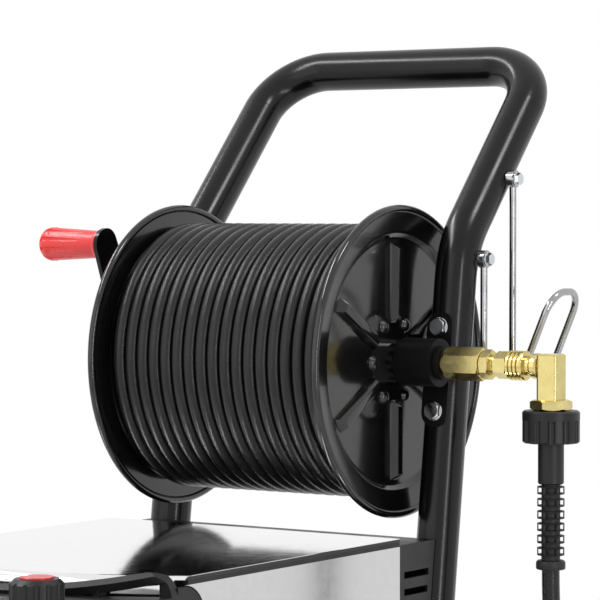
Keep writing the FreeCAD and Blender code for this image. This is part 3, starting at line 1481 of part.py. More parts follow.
# Knob with its cap and stem, rocker switch and gauge
def regulator_knob():
    piece = body("regulator_knob", x="knob_x", y="knob_y", z="knob_boss_top + free_clearance")
    height = "(knob_top - knob_cap_height / 2 - knob_boss_top - free_clearance)"
    radius = "knob_diameter / 2"
    cap = "knob_cap_diameter / 2 + running_clearance"
    turn(piece, sketch(piece, "XZ_Plane", [
        ("0", "0"), (radius, "0"), (radius, f"{height} - knob_chamfer"), (f"{radius} - knob_chamfer", height),
        (cap, height), (cap, f"{height} - knob_cap_height / 2"), ("0", f"{height} - knob_cap_height / 2")]),
        "Z_Axis")
    flute = pocket(piece, sketch(piece, "XY_Plane", (
        "circle", "knob_diameter / 2 + 0.9", "0", "knob_flute_diameter / 2")), f"{height} + 1", back=True)
    around(piece, flute, "Z_Axis", "knob_flutes")
    return piece


def knob_cap():
    return turned("knob_cap", [
        ("0", "0"), ("knob_cap_diameter / 2", "0"), ("knob_cap_diameter / 2", "knob_cap_height - 0.6"),
        ("knob_cap_diameter / 2 - 0.6", "knob_cap_height"), ("0", "knob_cap_height")], "Z_Axis",
        x="knob_x", y="knob_y", z="knob_top - knob_cap_height")


def regulator_stem():
    return turned("regulator_stem", box_loop("0", "stem_diameter / 2", "0",
                                             "knob_boss_top + free_clearance - stem_bottom"),
                  "Z_Axis", x="knob_x", y="knob_y", z="stem_bottom")


def power_switch():
    piece = body("power_switch", x="switch_x", y="switch_y", z=fascia_height("switch_y"), tilt="nose_slope")
    half = "switch_length / 2 - 1.5"
    deep = "switch_depth - 4"
    pad(piece, sketch(piece, "YZ_Plane", [
        (f"-({half})", f"-({deep})"), (half, f"-({deep})"), (half, "2.5"), ("via", "0", "0.8"),
        (f"-({half})", "2.5")]), "switch_width", both=True)
    return piece


def pressure_gauge():
    piece = body("pressure_gauge", x="0", y="gauge_y", z=fascia_height("gauge_y"), tilt="nose_slope")
    radius = "gauge_diameter / 2"
    turn(piece, sketch(piece, "XZ_Plane", [
        ("0", "-gauge_depth"), (f"{radius} - gauge_rim", "-gauge_depth"), (f"{radius} - gauge_rim", "0"),
        (radius, "0"), (radius, "gauge_rim"), (f"{radius} - 1", "gauge_rim + 1"),
        (f"{radius} - gauge_rim", "gauge_rim + 1"), (f"{radius} - gauge_rim - 0.5", "gauge_rim - 1"),
        ("0", "gauge_rim - 1")]), "Z_Axis")
    return piece


# Pump, motor and fan inside the cabinet
def motor_body():
    """Ribbed motor casing with its foot and a bearing bore at the rear."""
    piece = body("motor_body", z="pump_height")
    radius = "motor_diameter / 2"
    length = "(motor_rear - motor_front)"
    pad(piece, sketch(piece, "XZ_Plane", ("circle", "0", "0", radius), offset="motor_rear"), length)
    groove = pocket(piece, sketch(piece, "XZ_Plane", box_loop(
        "-3", "3", f"{radius} - motor_fin_depth", f"{radius} + 2"), offset="motor_rear - 14"),
        f"{length} - 28", back=True)
    around(piece, groove, "Y_Axis", "motor_fin_count")
    foot = "motor_foot_width / 2"
    pad(piece, sketch(piece, "XZ_Plane", box_loop(
        f"-{foot}", foot, "tray_bottom + tray_wall - pump_height", f"-{radius} * 0.75"),
        offset="motor_rear - 30"),
        f"{length} - 60")
    pocket(piece, sketch(piece, "XZ_Plane", ("circle", "0", "0",
                                             "rotor_shaft_diameter / 2 + running_clearance"),
                         offset="motor_rear + 1"), "40", back=True)
    return piece


def rotor_shaft():
    return cylinder_along_y("rotor_shaft", "rotor_shaft_diameter / 2", "motor_rear - 30", "rotor_reach")


def cylinder_along_y(label, radius, start, end):
    solid = cylinder(label, radius, f"({end}) - ({start})", "0", start, "pump_height", "-90")
    solid.Label = label
    return solid


def cooling_fan():
    piece = body("cooling_fan", z="pump_height")
    rear = "rotor_reach - 3"
    pad(piece, sketch(piece, "XZ_Plane", ("circle", "0", "0", "fan_hub_diameter / 2"),
                      ("circle", "0", "0", "rotor_shaft_diameter / 2 + running_clearance"), offset=rear),
                      "fan_depth")
    lean = "fan_depth * 0.35"
    near, far = f"{rear} - 1", f"{rear} - fan_depth + 1"
    low = sketch(piece, "XY_Plane", [
        (f"{lean}", near), (f"-{lean}", far), (f"-{lean} - fan_blade_sheet", far),
        (f"{lean} - fan_blade_sheet", near)], offset="fan_hub_diameter / 2 - 2")
    blade = pad(piece, low, "fan_diameter / 2 - fan_hub_diameter / 2 + 2")
    around(piece, blade, "Y_Axis", "fan_blades")
    return piece


def pump_head():
    piece = body("pump_head", z="pump_height")
    half = "pump_width / 2"
    block = route(piece, "XZ_Plane", box_loop(f"-{half}", half, "-pump_block / 2", "pump_block / 2"), "14",
                  closed=True, offset="motor_front")
    pad(piece, block, "motor_front - pump_front")
    pad(piece, sketch(piece, "XZ_Plane", ("circle", "-pump_width * 0.3", "0", "pump_boss"),
                      ("circle", "0", "0", "pump_boss"), offset="pump_front + 1"), "pump_boss * 0.4")
    return piece


def unloader_body():
    piece = body("unloader_body")
    top = "(stem_bottom - loose_clearance)"
    pad(piece, sketch(piece, "XY_Plane", [
        ("unloader_inner_x", "pump_front"), ("unloader_inner_x", "unloader_front + 30"),
        ("knob_x - unloader_half_width", "unloader_front"), ("knob_x + unloader_half_width",
            "unloader_front"),
        ("knob_x + unloader_half_width", "unloader_front + 50"), ("pump_width / 2", "pump_front")],
        offset=f"{top} - unloader_height"), "unloader_height")
    return piece


# Outlet on the right with the jumper hose's nut and ferrule, water inlet on the left
def outlet_elbow():
    spot = ("outlet_y", "pump_height")
    across = ("90", (0, 1, 0))
    tail = cylinder("outlet_tail", "outlet_tail_diameter / 2", "cabinet_half_width - pump_width / 2",
                    "pump_width / 2", *spot, *across)
    flange = cylinder("outlet_flange", "outlet_pipe_diameter / 2 + 5", "4", "cabinet_half_width", *spot,
                      *across)
    arm = cylinder("outlet_pipe", "outlet_pipe_diameter / 2", "outlet_x - cabinet_half_width",
                   "cabinet_half_width", *spot, *across)
    ball = doc.addObject("Part::Sphere", "outlet_corner")
    bind(ball, "Radius", "outlet_pipe_diameter / 2")
    place(ball, "outlet_x", *spot)
    mouth = cylinder("outlet_mouth", "outlet_pipe_diameter / 2", "outlet_arm", "outlet_x", *spot, "-90")
    return joined("outlet_elbow", [tail, flange, arm, ball, mouth])


def jumper_nut():
    start = "outlet_y + outlet_arm"
    nut = prism("jumper_hex", "jumper_nut_across", "jumper_nut_length", "outlet_x", start, "pump_height",
                "-90")
    ferrule = cylinder("jumper_ferrule", "jumper_ferrule_diameter / 2", "jumper_ferrule_length", "outlet_x",
                       f"{start} + jumper_nut_length", "pump_height", "-90")
    return joined("jumper_nut", [nut, ferrule])


def water_inlet():
    spot = ("outlet_y", "pump_height")
    across = ("-90", (0, 1, 0))
    tail = cylinder("inlet_tail", "outlet_tail_diameter / 2", "cabinet_half_width - pump_width / 2 + 1",
                    "-pump_width / 2", *spot, *across)
    collar = prism("inlet_hex", "inlet_hex_across", "inlet_hex_length", "-cabinet_half_width", *spot, *across)
    thread = cylinder("inlet_thread", "inlet_thread_diameter / 2", "inlet_reach - inlet_hex_length",
                      "-cabinet_half_width - inlet_hex_length", *spot, *across)
    bore = cylinder("inlet_bore", "outlet_tail_diameter / 2", "inlet_reach", "-cabinet_half_width - 2",
                    *spot, *across)
    whole = joined("inlet_whole", [tail, collar, thread])
    fitting = doc.addObject("Part::Cut", "water_inlet")
    fitting.Label = "water_inlet"
    fitting.Base = whole
    fitting.Tool = bore
    return fitting


doc.recompute()

PIECES = []
for name, side in SIDES:
    PIECES += [upright(name, side), bearing_bracket(name, side), reel_flange(name, side),
               side_panel(name, side), tyre(name, side), rim(name, side)]
PIECES += [handle_bar(), bearing_bushes(), frame_bolts(), reel_shaft(), shaft_collars(), reel_drum(),
           flange_bolts(),
           hose_winding(), hose_core(), hose_fitting(), crank_arm(), crank_nut(), grip_pin(), crank_grip(),
           swivel_body(), swivel_nut(), coupler_body(), coupler_sleeve(), elbow(), elbow_nut(), hose_nut(),
           hose_tail(), strain_relief(), jumper_hose(), lance_hook(), top_lid(), lid_seal(), rear_cowl(),
           base_tray(), axle_brackets(), axle(), hub_caps(), front_stand(), stand_pads(), front_cowl(),
           regulator_knob(), knob_cap(), regulator_stem(), power_switch(), pressure_gauge(),
           motor_body(), rotor_shaft(), cooling_fan(), pump_head(), unloader_body(), outlet_elbow(),
           jumper_nut(), water_inlet()]
doc.recompute()

# Every object and every piece has to be sound before a file is written
for thing in doc.Objects:
    faults = {"Invalid", "Error"} & set(thing.State)
    if faults:
        raise RuntimeError(f"{thing.Label} of {thing.Label2} is {faults}: {thing.getStatusString()}")
for piece in PIECES:
    if piece.Shape.isNull() or not piece.Shape.isValid() or not piece.Shape.Solids:
        raise RuntimeError(f"{piece.Label} has no sound shape")

os.makedirs("parts", exist_ok=True)
for piece in PIECES:
    piece.Shape.exportStep(f"parts/{piece.Label}.step")
    box = piece.Shape.BoundBox
    print(f"{piece.Label}: {len(piece.Shape.Solids)} solids, x {box.XMin:.1f} {box.XMax:.1f}, "
          f"y {box.YMin:.1f} {box.YMax:.1f}, z {box.ZMin:.1f} {box.ZMax:.1f}")
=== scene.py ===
import bpy
import bmesh
import math
from mathutils import Matrix, Vector


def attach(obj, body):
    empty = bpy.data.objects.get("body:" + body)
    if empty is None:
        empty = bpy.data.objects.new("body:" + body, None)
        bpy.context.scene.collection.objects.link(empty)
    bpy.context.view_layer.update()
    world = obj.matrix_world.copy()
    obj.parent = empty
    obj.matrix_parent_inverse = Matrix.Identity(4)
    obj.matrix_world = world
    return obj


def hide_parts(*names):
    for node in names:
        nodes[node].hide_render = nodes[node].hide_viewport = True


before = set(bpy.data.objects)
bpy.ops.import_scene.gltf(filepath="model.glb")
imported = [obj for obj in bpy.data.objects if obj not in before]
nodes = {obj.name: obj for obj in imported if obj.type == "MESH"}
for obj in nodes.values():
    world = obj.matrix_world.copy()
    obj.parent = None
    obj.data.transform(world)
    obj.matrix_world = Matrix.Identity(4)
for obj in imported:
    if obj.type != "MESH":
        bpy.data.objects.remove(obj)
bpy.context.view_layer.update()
print("model loaded,", len(nodes), "nodes")

mm = 0.001
# millimetres: the point on the floor below the middle of the reel's shaft, and the shaft's height above it
originX, originY, reelHeight = -25.75, 145.7, 640.0
reelAxis = Vector((originX, originY, reelHeight))
reelCentre = (0, 0, reelHeight)  # the same spot, as at() takes it
rightWay, upWay = Vector((1, 0, 0)), Vector((0, 0, 1))


def at(x, y, z):
    # millimetres right of, behind and above that point on the floor, as a place in metres
    return Vector((x + originX, y + originY, z)) * mm


# the camera stands where the photograph was taken from: degrees, and millimetres from the reel's middle
view = dict(turn=33.92, dip=1.77, distance=2681.14, right=11.20, up=52.82, lens=175.587, sensor=36,
            clip=(0.05, 60))


def placeCamera():
    turn, dip = math.radians(view["turn"]), math.radians(view["dip"])
    ahead = Vector((-math.sin(turn) * math.cos(dip), math.cos(turn) * math.cos(dip), -math.sin(dip)))
    across = Vector((math.cos(turn), math.sin(turn), 0))
    upward = across.cross(ahead)
    camera = bpy.data.objects.new("camera", bpy.data.cameras.new("camera"))
    bpy.context.scene.collection.objects.link(camera)
    camera.location = (reelAxis + across * view["right"] + upward * view["up"] - ahead * view["distance"]) * mm
    camera.rotation_mode = "QUATERNION"
    camera.rotation_quaternion = ahead.to_track_quat("-Z", "Y")
    camera.data.sensor_width = view["sensor"]
    camera.data.lens = view["lens"]
    camera.data.clip_start, camera.data.clip_end = view["clip"]
    bpy.context.scene.camera = camera


placeCamera()
print("camera set")


# shared steps for making pieces
def pieceFrom(name, bm, finish, body="root", instead=(), smooth=35):
    bmesh.ops.remove_doubles(bm, verts=bm.verts, dist=1e-6)
    bmesh.ops.recalc_face_normals(bm, faces=bm.faces)
    mesh = bpy.data.meshes.new(name)
    bm.to_mesh(mesh)
    bm.free()
    mesh.shade_smooth()
    mesh.set_sharp_from_angle(angle=math.radians(smooth))
    piece = bpy.data.objects.new(name, mesh)
    bpy.context.scene.collection.objects.link(piece)
    mesh.materials.append(finish)
    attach(piece, body)
    if instead:
        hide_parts(*instead)
    return piece


def turnProfile(bm, profile, centre, axis, steps, closed=False):
    # turned round the axis: each profile point is millimetres along it and out from it
    out = axis.orthogonal().normalized()
    verts = [bm.verts.new(centre + (axis * along + out * radius) * mm) for along, radius in profile]
    edges = [bm.edges.new(pair) for pair in zip(verts, verts[1:])]
    if closed:
        edges.append(bm.edges.new((verts[-1], verts[0])))
    bmesh.ops.spin(bm, geom=verts + edges, cent=centre, axis=axis, angle=2 * math.pi, steps=steps,
                   use_merge=True)


def layRing(bm, edges, matrix, shape):
    # copies the ring on, and gives each of its vertices a new place from its angle
    grown = bmesh.ops.extrude_edge_only(bm, edges=edges)["geom"]
    for vert in (g for g in grown if isinstance(g, bmesh.types.BMVert)):
        flat = matrix.inverted() @ vert.co
        vert.co = matrix @ shape(math.atan2(flat.y, flat.x))
    return [g for g in grown if isinstance(g, bmesh.types.BMEdge)]


chamfer = dict(rim=0.96, slope=28, sides=48)  # share of the half width, degrees, points round


def chamferedHexagon(bm, base, axis, across, height, nearSlope=0, bore=0, turn=0):
    # a bolt head or nut: six flats cut by a cone at its ends, which leaves the arcs at the corners
    matrix = Matrix.Translation(base) @ axis.to_track_quat("Z", "Y").to_matrix().to_4x4()
    matrix = matrix @ Matrix.Rotation(math.radians(turn), 4, "Z")
    flat = across / 2 * mm
    rim = flat * chamfer["rim"]

    def reach(angle):
        return flat / math.cos((angle + math.pi / 6) % (math.pi / 3) - math.pi / 6)

    def cut(angle, slope=chamfer["slope"]):
        return (reach(angle) - rim) * math.tan(math.radians(slope))

    def ringAt(radiusOf, heightOf):
        return lambda angle: Vector((radiusOf(angle) * math.cos(angle), radiusOf(angle) * math.sin(angle),
                                     heightOf(angle)))

    top = height * mm
    levels = [(reach, lambda a: 0.0)]
    if nearSlope:
        levels = [(lambda a: rim, lambda a: 0.0), (reach, lambda a: cut(a, nearSlope))]
    levels += [(reach, lambda a: top - cut(a)), (lambda a: rim, lambda a: top)]
    if bore:
        levels += [(lambda a: bore / 2 * mm, lambda a: top), (lambda a: bore / 2 * mm, lambda a: 0.0)]
    else:
        # the closed end is faintly domed
        levels += [(lambda a: flat * 0.5, lambda a: top + 0.12 * mm),
                   (lambda a: flat * 0.02, lambda a: top + 0.14 * mm)]
    start = bmesh.ops.create_circle(bm, segments=chamfer["sides"], radius=flat)["verts"]
    first = list({edge for vert in start for edge in vert.link_edges})
    for vert in start:
        vert.co = matrix @ ringAt(*levels[0])(math.atan2(vert.co.y, vert.co.x))
    edges = first
    for level in levels[1:]:
        edges = layRing(bm, edges, matrix, ringAt(*level))
    if bore:
        bmesh.ops.bridge_loops(bm, edges=edges + first)
    else:
        bmesh.ops.edgenet_fill(bm, edges=edges)


def hosePath(name, corners):
    # the smooth line that a hose takes through its route's points
    curve = bpy.data.curves.new(name, "CURVE")
    curve.dimensions = "3D"
    curve.resolution_u = 5
    line = curve.splines.new("NURBS")
    line.points.add(len(corners) - 1)
    for point, corner in zip(line.points, corners):
        point.co = (*corner, 1)
    line.order_u = 3
    line.use_endpoint_u = True
    guide = bpy.data.objects.new(name, curve)
    bpy.context.scene.collection.objects.link(guide)
    flat = bpy.data.meshes.new_from_object(guide)
    path = [v.co.copy() for v in flat.vertices]
    bpy.data.objects.remove(guide)
    bpy.data.meshes.remove(flat)
    return path


runScale = 100  # the UV map of a hose keeps the run along it in centimetres


def hoseAlong(path, radius, sides):
    # a ring carried along the path, with the run along the hose and round it kept as its UV map
    bm = bmesh.new()
    ringOf = bm.verts.layers.int.new("ring")
    sideOf = bm.verts.layers.int.new("side")
    heading = (path[1] - path[0]).normalized()
    turned = heading.to_track_quat("Z", "Y").to_matrix()
    bmesh.ops.create_circle(bm, segments=sides, radius=radius, cap_ends=True)
    ring = list(bm.verts)
    for index, vert in enumerate(ring):
        vert[sideOf] = index
        vert.co = turned @ vert.co + path[0]
    edges = list(bm.edges)
    lengths = [0.0]
    for index in range(1, len(path)):
        before, heading = heading, (path[min(index + 1, len(path) - 1)] - path[index - 1]).normalized()
        grown = bmesh.ops.extrude_edge_only(bm, edges=edges)["geom"]
        ring = [g for g in grown if isinstance(g, bmesh.types.BMVert)]
        edges = [g for g in grown if isinstance(g, bmesh.types.BMEdge)]
        swing = before.rotation_difference(heading).to_matrix()
        for vert in ring:
            vert[ringOf] = index
            vert.co = swing @ (vert.co - path[index - 1]) + path[index]
        lengths.append(lengths[-1] + (path[index] - path[index - 1]).length)
    bmesh.ops.edgenet_fill(bm, edges=edges)
    uv = bm.loops.layers.uv.new("run")
    for face in bm.faces:
        sidesHere = [vert[sideOf] for vert in face.verts]
        wraps = len(face.verts) == 4 and max(sidesHere) - min(sidesHere) > 1
        for loop in face.loops:
            side = loop.vert[sideOf]
            side = sides if wraps and side == 0 else side
            loop[uv].uv = (lengths[loop.vert[ringOf]] * runScale, side / sides)
    return bm, lengths[-1]


# node helpers for the finishes: every length in them is in metres
def addNode(tree, kind, values=None, **settings):
    made = tree.nodes.new("ShaderNode" + kind)
    for key, setting in settings.items():
        setattr(made, key, setting)
    for socket, value in (values or {}).items():
        if isinstance(value, bpy.types.NodeSocket):
            tree.links.new(value, made.inputs[socket])
        else:
            made.inputs[socket].default_value = value
    return made


def newFinish(name, **sockets):
    finish = bpy.data.materials.new(name)
    finish.use_nodes = True
    tree = finish.node_tree
    shader = tree.nodes["Principled BSDF"]
    for socket, value in sockets.items():
        shader.inputs[socket.replace("_", " ")].default_value = value
    return finish, tree, shader


def objectPlace(tree, stretch=(1, 1, 1)):
    where = addNode(tree, "TexCoord").outputs["Object"]
    return addNode(tree, "Mapping", {"Vector": where, "Scale": stretch}).outputs["Vector"]


def noiseOf(tree, place, size, detail=2.0, rough=0.5):
    return addNode(tree, "TexNoise", {"Vector": place, "Scale": 1 / size, "Detail": detail,
                                      "Roughness": rough}).outputs["Fac"]


def spread(tree, value, low, high, fromLow=0.3, fromHigh=0.7):
    return addNode(tree, "MapRange", {"Value": value, "From Min": fromLow, "From Max": fromHigh,
                                      "To Min": low, "To Max": high}).outputs["Result"]


def tint(tree, value, first, second, fromLow=0.3, fromHigh=0.7):
    share = spread(tree, value, 0, 1, fromLow, fromHigh)
    return addNode(tree, "Mix", {0: share, 6: (*first, 1), 7: (*second, 1)}, data_type="RGBA").outputs[2]


def lift(tree, shader, height, depth):
    bump = addNode(tree, "Bump", {"Height": height, "Distance": depth, "Strength": 1.0})
    tree.links.new(bump.outputs["Normal"], shader.inputs["Normal"])


def link(tree, output, shader, socket):
    tree.links.new(output, shader.inputs[socket])


def work(tree, operation, first, second=0.0):
    return addNode(tree, "Math", {0: first, 1: second}, operation=operation).outputs[0]


def paintFinish(name, dark, light, rough, peel, gloss, coat):
    # stoved enamel: faint orange peel and patches of slightly different gloss
    finish, tree, shader = newFinish(name, IOR=1.5, Specular_IOR_Level=gloss, Coat_Weight=coat,
                                     Coat_Roughness=0.06)
    place = objectPlace(tree)
    link(tree, tint(tree, noiseOf(tree, place, size=0.06, detail=4), dark, light), shader, "Base Color")
    link(tree, spread(tree, noiseOf(tree, place, size=0.035, detail=5, rough=0.6), *rough), shader, "Roughness")
    lift(tree, shader, noiseOf(tree, place, size=0.0035), peel)
    return finish


def metalFinish(name, first, second, rough, grain=(1, 1, 1), depth=0.00001, size=0.0006):
    # plated or bare metal with fine lines along the way that it was drawn, turned or brushed
    finish, tree, shader = newFinish(name, Metallic=1.0)
    place = objectPlace(tree)
    lines = noiseOf(tree, objectPlace(tree, grain), size, detail=3, rough=0.6)
    cloud = noiseOf(tree, place, size=0.012, detail=4, rough=0.6)
    link(tree, tint(tree, cloud, first, second), shader, "Base Color")
    link(tree, spread(tree, work(tree, "ADD", lines, cloud), *rough, 0.7, 1.3), shader, "Roughness")
    lift(tree, shader, lines, depth)
    return finish


# metres: the lid's middle, how far out its folds begin, and the height that they stay under
lidFoldBlack = dict(middle=-0.02575, out=0.1570, under=0.4886, colour=(0.006, 0.006, 0.006, 1), dulled=0.35)


def lidFinish():
    # lid of polished steel: its two side folds, below its top, are coloured black and made duller, kept apart
    # by their place on the lid
    # painted highlight: the lid's steel is coloured brighter than the side panels' steel, so the top reads
    # lighter; its lower roughness is its polish
    finish = metalFinish("polishedStainlessPaintedBright", (0.80, 0.80, 0.80), (0.84, 0.84, 0.842), rough=(0.05, 0.11),
                         grain=(1, 40, 40), depth=0.000002, size=0.02)
    tree = finish.node_tree
    shader = tree.nodes["Principled BSDF"]
    spot = addNode(tree, "SeparateXYZ", {"Vector": objectPlace(tree)})
    sideways = work(tree, "ABSOLUTE", work(tree, "SUBTRACT", spot.outputs["X"], lidFoldBlack["middle"]))
    below = work(tree, "LESS_THAN", spot.outputs["Z"], lidFoldBlack["under"])
    # the side folds below the top: coloured black, dulled and not metal
    blackFolds = work(tree, "MULTIPLY", work(tree, "GREATER_THAN", sideways, lidFoldBlack["out"]), below)
    steel = shader.inputs["Base Color"].links[0].from_socket
    coloured = addNode(tree, "Mix", {0: blackFolds, 6: steel, 7: lidFoldBlack["colour"]}, data_type="RGBA").outputs[2]
    link(tree, coloured, shader, "Base Color")
    link(tree, work(tree, "SUBTRACT", 1.0, blackFolds), shader, "Metallic")
    gloss = shader.inputs["Roughness"].links[0].from_socket
    link(tree, work(tree, "ADD", gloss, work(tree, "MULTIPLY", blackFolds, lidFoldBlack["dulled"])), shader, "Roughness")
    return finish


def mouldedFinish(name, dark, light, rough, gloss=0.4, grainSize=0.0009, depth=0.00005):
    # moulded plastic or rubber with its spark-eroded grain
    finish, tree, shader = newFinish(name, IOR=1.48, Specular_IOR_Level=gloss)
    place = objectPlace(tree)
    link(tree, tint(tree, noiseOf(tree, place, size=0.04, detail=5), dark, light), shader, "Base Color")
    link(tree, spread(tree, noiseOf(tree, place, size=0.02, detail=4), *rough), shader, "Roughness")
    lift(tree, shader, noiseOf(tree, place, grainSize, detail=1), depth)
    return finish


def hoseFinish(name, dark, light, pitch, sides):
    # cloth-wrapped rubber: the wrap's fine ribs run round the hose on a slant, crossed by a fainter set
    finish, tree, shader = newFinish(name, IOR=1.5, Specular_IOR_Level=0.34)
    run = addNode(tree, "UVMap", uv_map="run").outputs["UV"]
    parts = addNode(tree, "SeparateXYZ", {"Vector": run})
    along = work(tree, "MULTIPLY", parts.outputs["X"], 2 * math.pi / (pitch * runScale))
    around = work(tree, "MULTIPLY", parts.outputs["Y"], sides * 2 * math.pi)
    rising = work(tree, "SINE", work(tree, "ADD", along, around))
    falling = work(tree, "MULTIPLY", work(tree, "SINE", work(tree, "SUBTRACT", along, around)), 0.35)
    weave = work(tree, "MAXIMUM", rising, falling)
    worn = noiseOf(tree, objectPlace(tree), size=0.03, detail=5, rough=0.6)
    # painted light and shade: the ribs' crests are coloured lighter and the grooves between them darker, with
    # random tone from the worn noise on top
    paintedRibShadeAndWear = work(tree, "ADD", spread(tree, weave, 0.0, 0.65, -0.6, 1), spread(tree, worn, 0.0, 0.35))
    link(tree, tint(tree, paintedRibShadeAndWear, dark, light, 0, 1), shader, "Base Color")
    link(tree, spread(tree, worn, 0.21, 0.28), shader, "Roughness")
    lift(tree, shader, weave, 0.000035)
    return finish


tubePaint = paintFinish(
    "tubePaint", dark=(0.0022, 0.0022, 0.0025), light=(0.0036, 0.0036, 0.004), rough=(0.18, 0.26),
    peel=0.000009, gloss=0.29, coat=0.0)
reelEnamel = paintFinish(
    "reelEnamel", dark=(0.003, 0.003, 0.0033), light=(0.005, 0.005, 0.0055), rough=(0.10, 0.17),
    peel=0.000016, gloss=0.50, coat=0.24)
bracketPaint = paintFinish(
    "bracketPaint", dark=(0.0022, 0.0022, 0.0026), light=(0.004, 0.004, 0.0044), rough=(0.42, 0.56),
    peel=0.00003, gloss=0.14, coat=0.0)
wrappedRubber = hoseFinish(
    "wrappedRubber", dark=(0.0015, 0.0015, 0.0017), light=(0.012, 0.012, 0.0126), pitch=0.0013, sides=26)
brass = metalFinish(
    "polishedBrass", (0.57, 0.47, 0.18), (0.69, 0.58, 0.25), rough=(0.16, 0.28), grain=(1, 12, 12))
bronzeMetal = metalFinish("sinteredBronze", (0.50, 0.32, 0.16), (0.62, 0.42, 0.24), rough=(0.34, 0.5))
# painted reflection: the hook's wire gets a darker copy of chrome, standing in for dark surroundings mirrored
# in it
darkenedHookChrome = metalFinish(
    "darkenedHookChrome", (0.34, 0.34, 0.35), (0.42, 0.42, 0.43), rough=(0.06, 0.12), depth=0.000004)
chrome = metalFinish("chrome", (0.56, 0.57, 0.59), (0.66, 0.67, 0.68), rough=(0.03, 0.08), grain=(6, 6, 1))
zincPlate = metalFinish("zincPlate", (0.54, 0.55, 0.57), (0.68, 0.69, 0.70), rough=(0.16, 0.32))
stainless = metalFinish(
    "brushedStainless", (0.60, 0.60, 0.605), (0.63, 0.63, 0.635), rough=(0.17, 0.22), grain=(1, 1, 30),
    depth=0.000003, size=0.012)
# the lid: a brighter copy of the side panels' steel, a painted highlight on the top
brightenedLidSteel = lidFinish()
castAlloy = metalFinish(
    "castAlloy", (0.40, 0.41, 0.42), (0.50, 0.51, 0.52), rough=(0.45, 0.62), depth=0.00008, size=0.0018)
blackPlastic = mouldedFinish(
    "blackPlastic", (0.006, 0.006, 0.0066), (0.012, 0.012, 0.0128), rough=(0.34, 0.46), gloss=0.35)
rimPlastic = mouldedFinish("rimPlastic", (0.030, 0.031, 0.033), (0.045, 0.046, 0.048), rough=(0.42, 0.55))
softRubber = mouldedFinish(
    "softRubber", (0.009, 0.009, 0.009), (0.016, 0.016, 0.0155), rough=(0.45, 0.60),
    gloss=0.4, grainSize=0.0006, depth=0.00004)
tyreRubber = mouldedFinish(
    "tyreRubber", (0.014, 0.014, 0.014), (0.030, 0.029, 0.027), rough=(0.70, 0.88),
    gloss=0.3, grainSize=0.0012, depth=0.0001)
redPlastic = mouldedFinish(
    "redPlastic", (0.88, 0.050, 0.052), (0.93, 0.065, 0.066), rough=(0.26, 0.36),
    gloss=0.5, grainSize=0.0015, depth=0.00002)
redCapPlastic = mouldedFinish(
    "redCapPlastic", (0.62, 0.020, 0.022), (0.68, 0.028, 0.030), rough=(0.25, 0.35), gloss=0.5)
whitePlastic = mouldedFinish(
    "whitePlastic", (0.78, 0.78, 0.76), (0.82, 0.82, 0.80), rough=(0.35, 0.45), gloss=0.5)
dialInk = mouldedFinish(
    "dialInk", (0.012, 0.012, 0.012), (0.018, 0.018, 0.018), rough=(0.45, 0.55), gloss=0.3)

finishOf = dict(
    black_tube=tubePaint, black_steel=bracketPaint, black_gloss_steel=reelEnamel, stainless=stainless,
    bronze=bronzeMetal, zinc_steel=zincPlate, brass=brass, chrome=chrome, black_plastic=blackPlastic,
    black_rubber=softRubber, hose_rubber=softRubber, gauge_face=whitePlastic, motor_alloy=castAlloy,
    red_grip=redPlastic, red_cap=redCapPlastic, switch_red=redPlastic, tyre=tyreRubber, rim_plastic=rimPlastic)
for node in nodes.values():
    for place in node.material_slots:
        place.material = finishOf[place.material.name.split(".")[0]]
nodes["top_lid"].material_slots[0].material = brightenedLidSteel
nodes["crank_arm"].material_slots[0].material = tubePaint
# the hook takes the darker chrome copy, a painted reflection
nodes["lance_hook"].material_slots[0].material = darkenedHookChrome
print("finishes made and put on the model's nodes")


# millimetres and turns: both hoses, and a nudge along the winding that tells its heading at the ends
wound = dict(diameter=12.4, radius=117.0, pitch=12.9, turns=16.5, start=70.0, nudge=0.001, perTurn=16, sides=14)
jumper = dict(diameter=15.6, sides=20, route=[
    (275, 0, 464.4), (275, 0, 424.4), (279, 7, 383.4), (280, 2, 342.4), (272, -22, 306.4), (257, -60, 280.4),
    (239, -105, 261.4), (222, -152, 247.4), (210, -210, 240), (210, -255, 240)])


def woundPoint(turns, radius):
    angle = turns * 2 * math.pi
    lead = angle + math.radians(wound["start"])
    across = wound["pitch"] * (turns - wound["turns"] / 2)
    return (Vector((across, radius * math.cos(lead), radius * math.sin(lead))) + reelAxis) * mm


def layWoundHose():
    count = round(wound["turns"] * wound["perTurn"])
    # a point stands off the turn by what the smooth line cuts off inside it
    step = 2 * math.pi / wound["perTurn"]
    out = wound["radius"] / math.cos(step / 2)
    corners = [woundPoint(wound["turns"] * index / count, out) for index in range(1, count)]
    radius, turns, nudge = wound["radius"], wound["turns"], wound["nudge"]
    first, last = woundPoint(0, radius), woundPoint(turns, radius)
    begin = (woundPoint(nudge, radius) - first).normalized() * wound["diameter"] * mm
    end = (last - woundPoint(turns - nudge, radius)).normalized() * wound["diameter"] * mm
    corners = [first - begin, first, *corners, last, last + end]
    path = hosePath("woundRoute", corners)
    bm, length = hoseAlong(path, wound["diameter"] / 2 * mm, wound["sides"])
    piece = pieceFrom("woundHose", bm, wrappedRubber, "reel", ["hose_winding"], smooth=60)
    print(f"wound hose laid, {length:.2f} m in its outer layer")


def layJumperHose():
    path = hosePath("jumperRoute", [at(*corner) for corner in jumper["route"]])
    bm, length = hoseAlong(path, jumper["diameter"] / 2 * mm, jumper["sides"])
    piece = pieceFrom("jumperHose", bm, wrappedRubber, "root", ["jumper_hose"], smooth=60)
    print(f"jumper hose laid, {length:.2f} m")


layWoundHose()
layJumperHose()


innerLayer = dict(halfWidth=112.6, drumRadius=88.4, turnRadius=6.2, crest=110.4, pitch=12.9, turns=17, steps=72,
                  bumpAngles=(150, 120, 90, 60, 30))


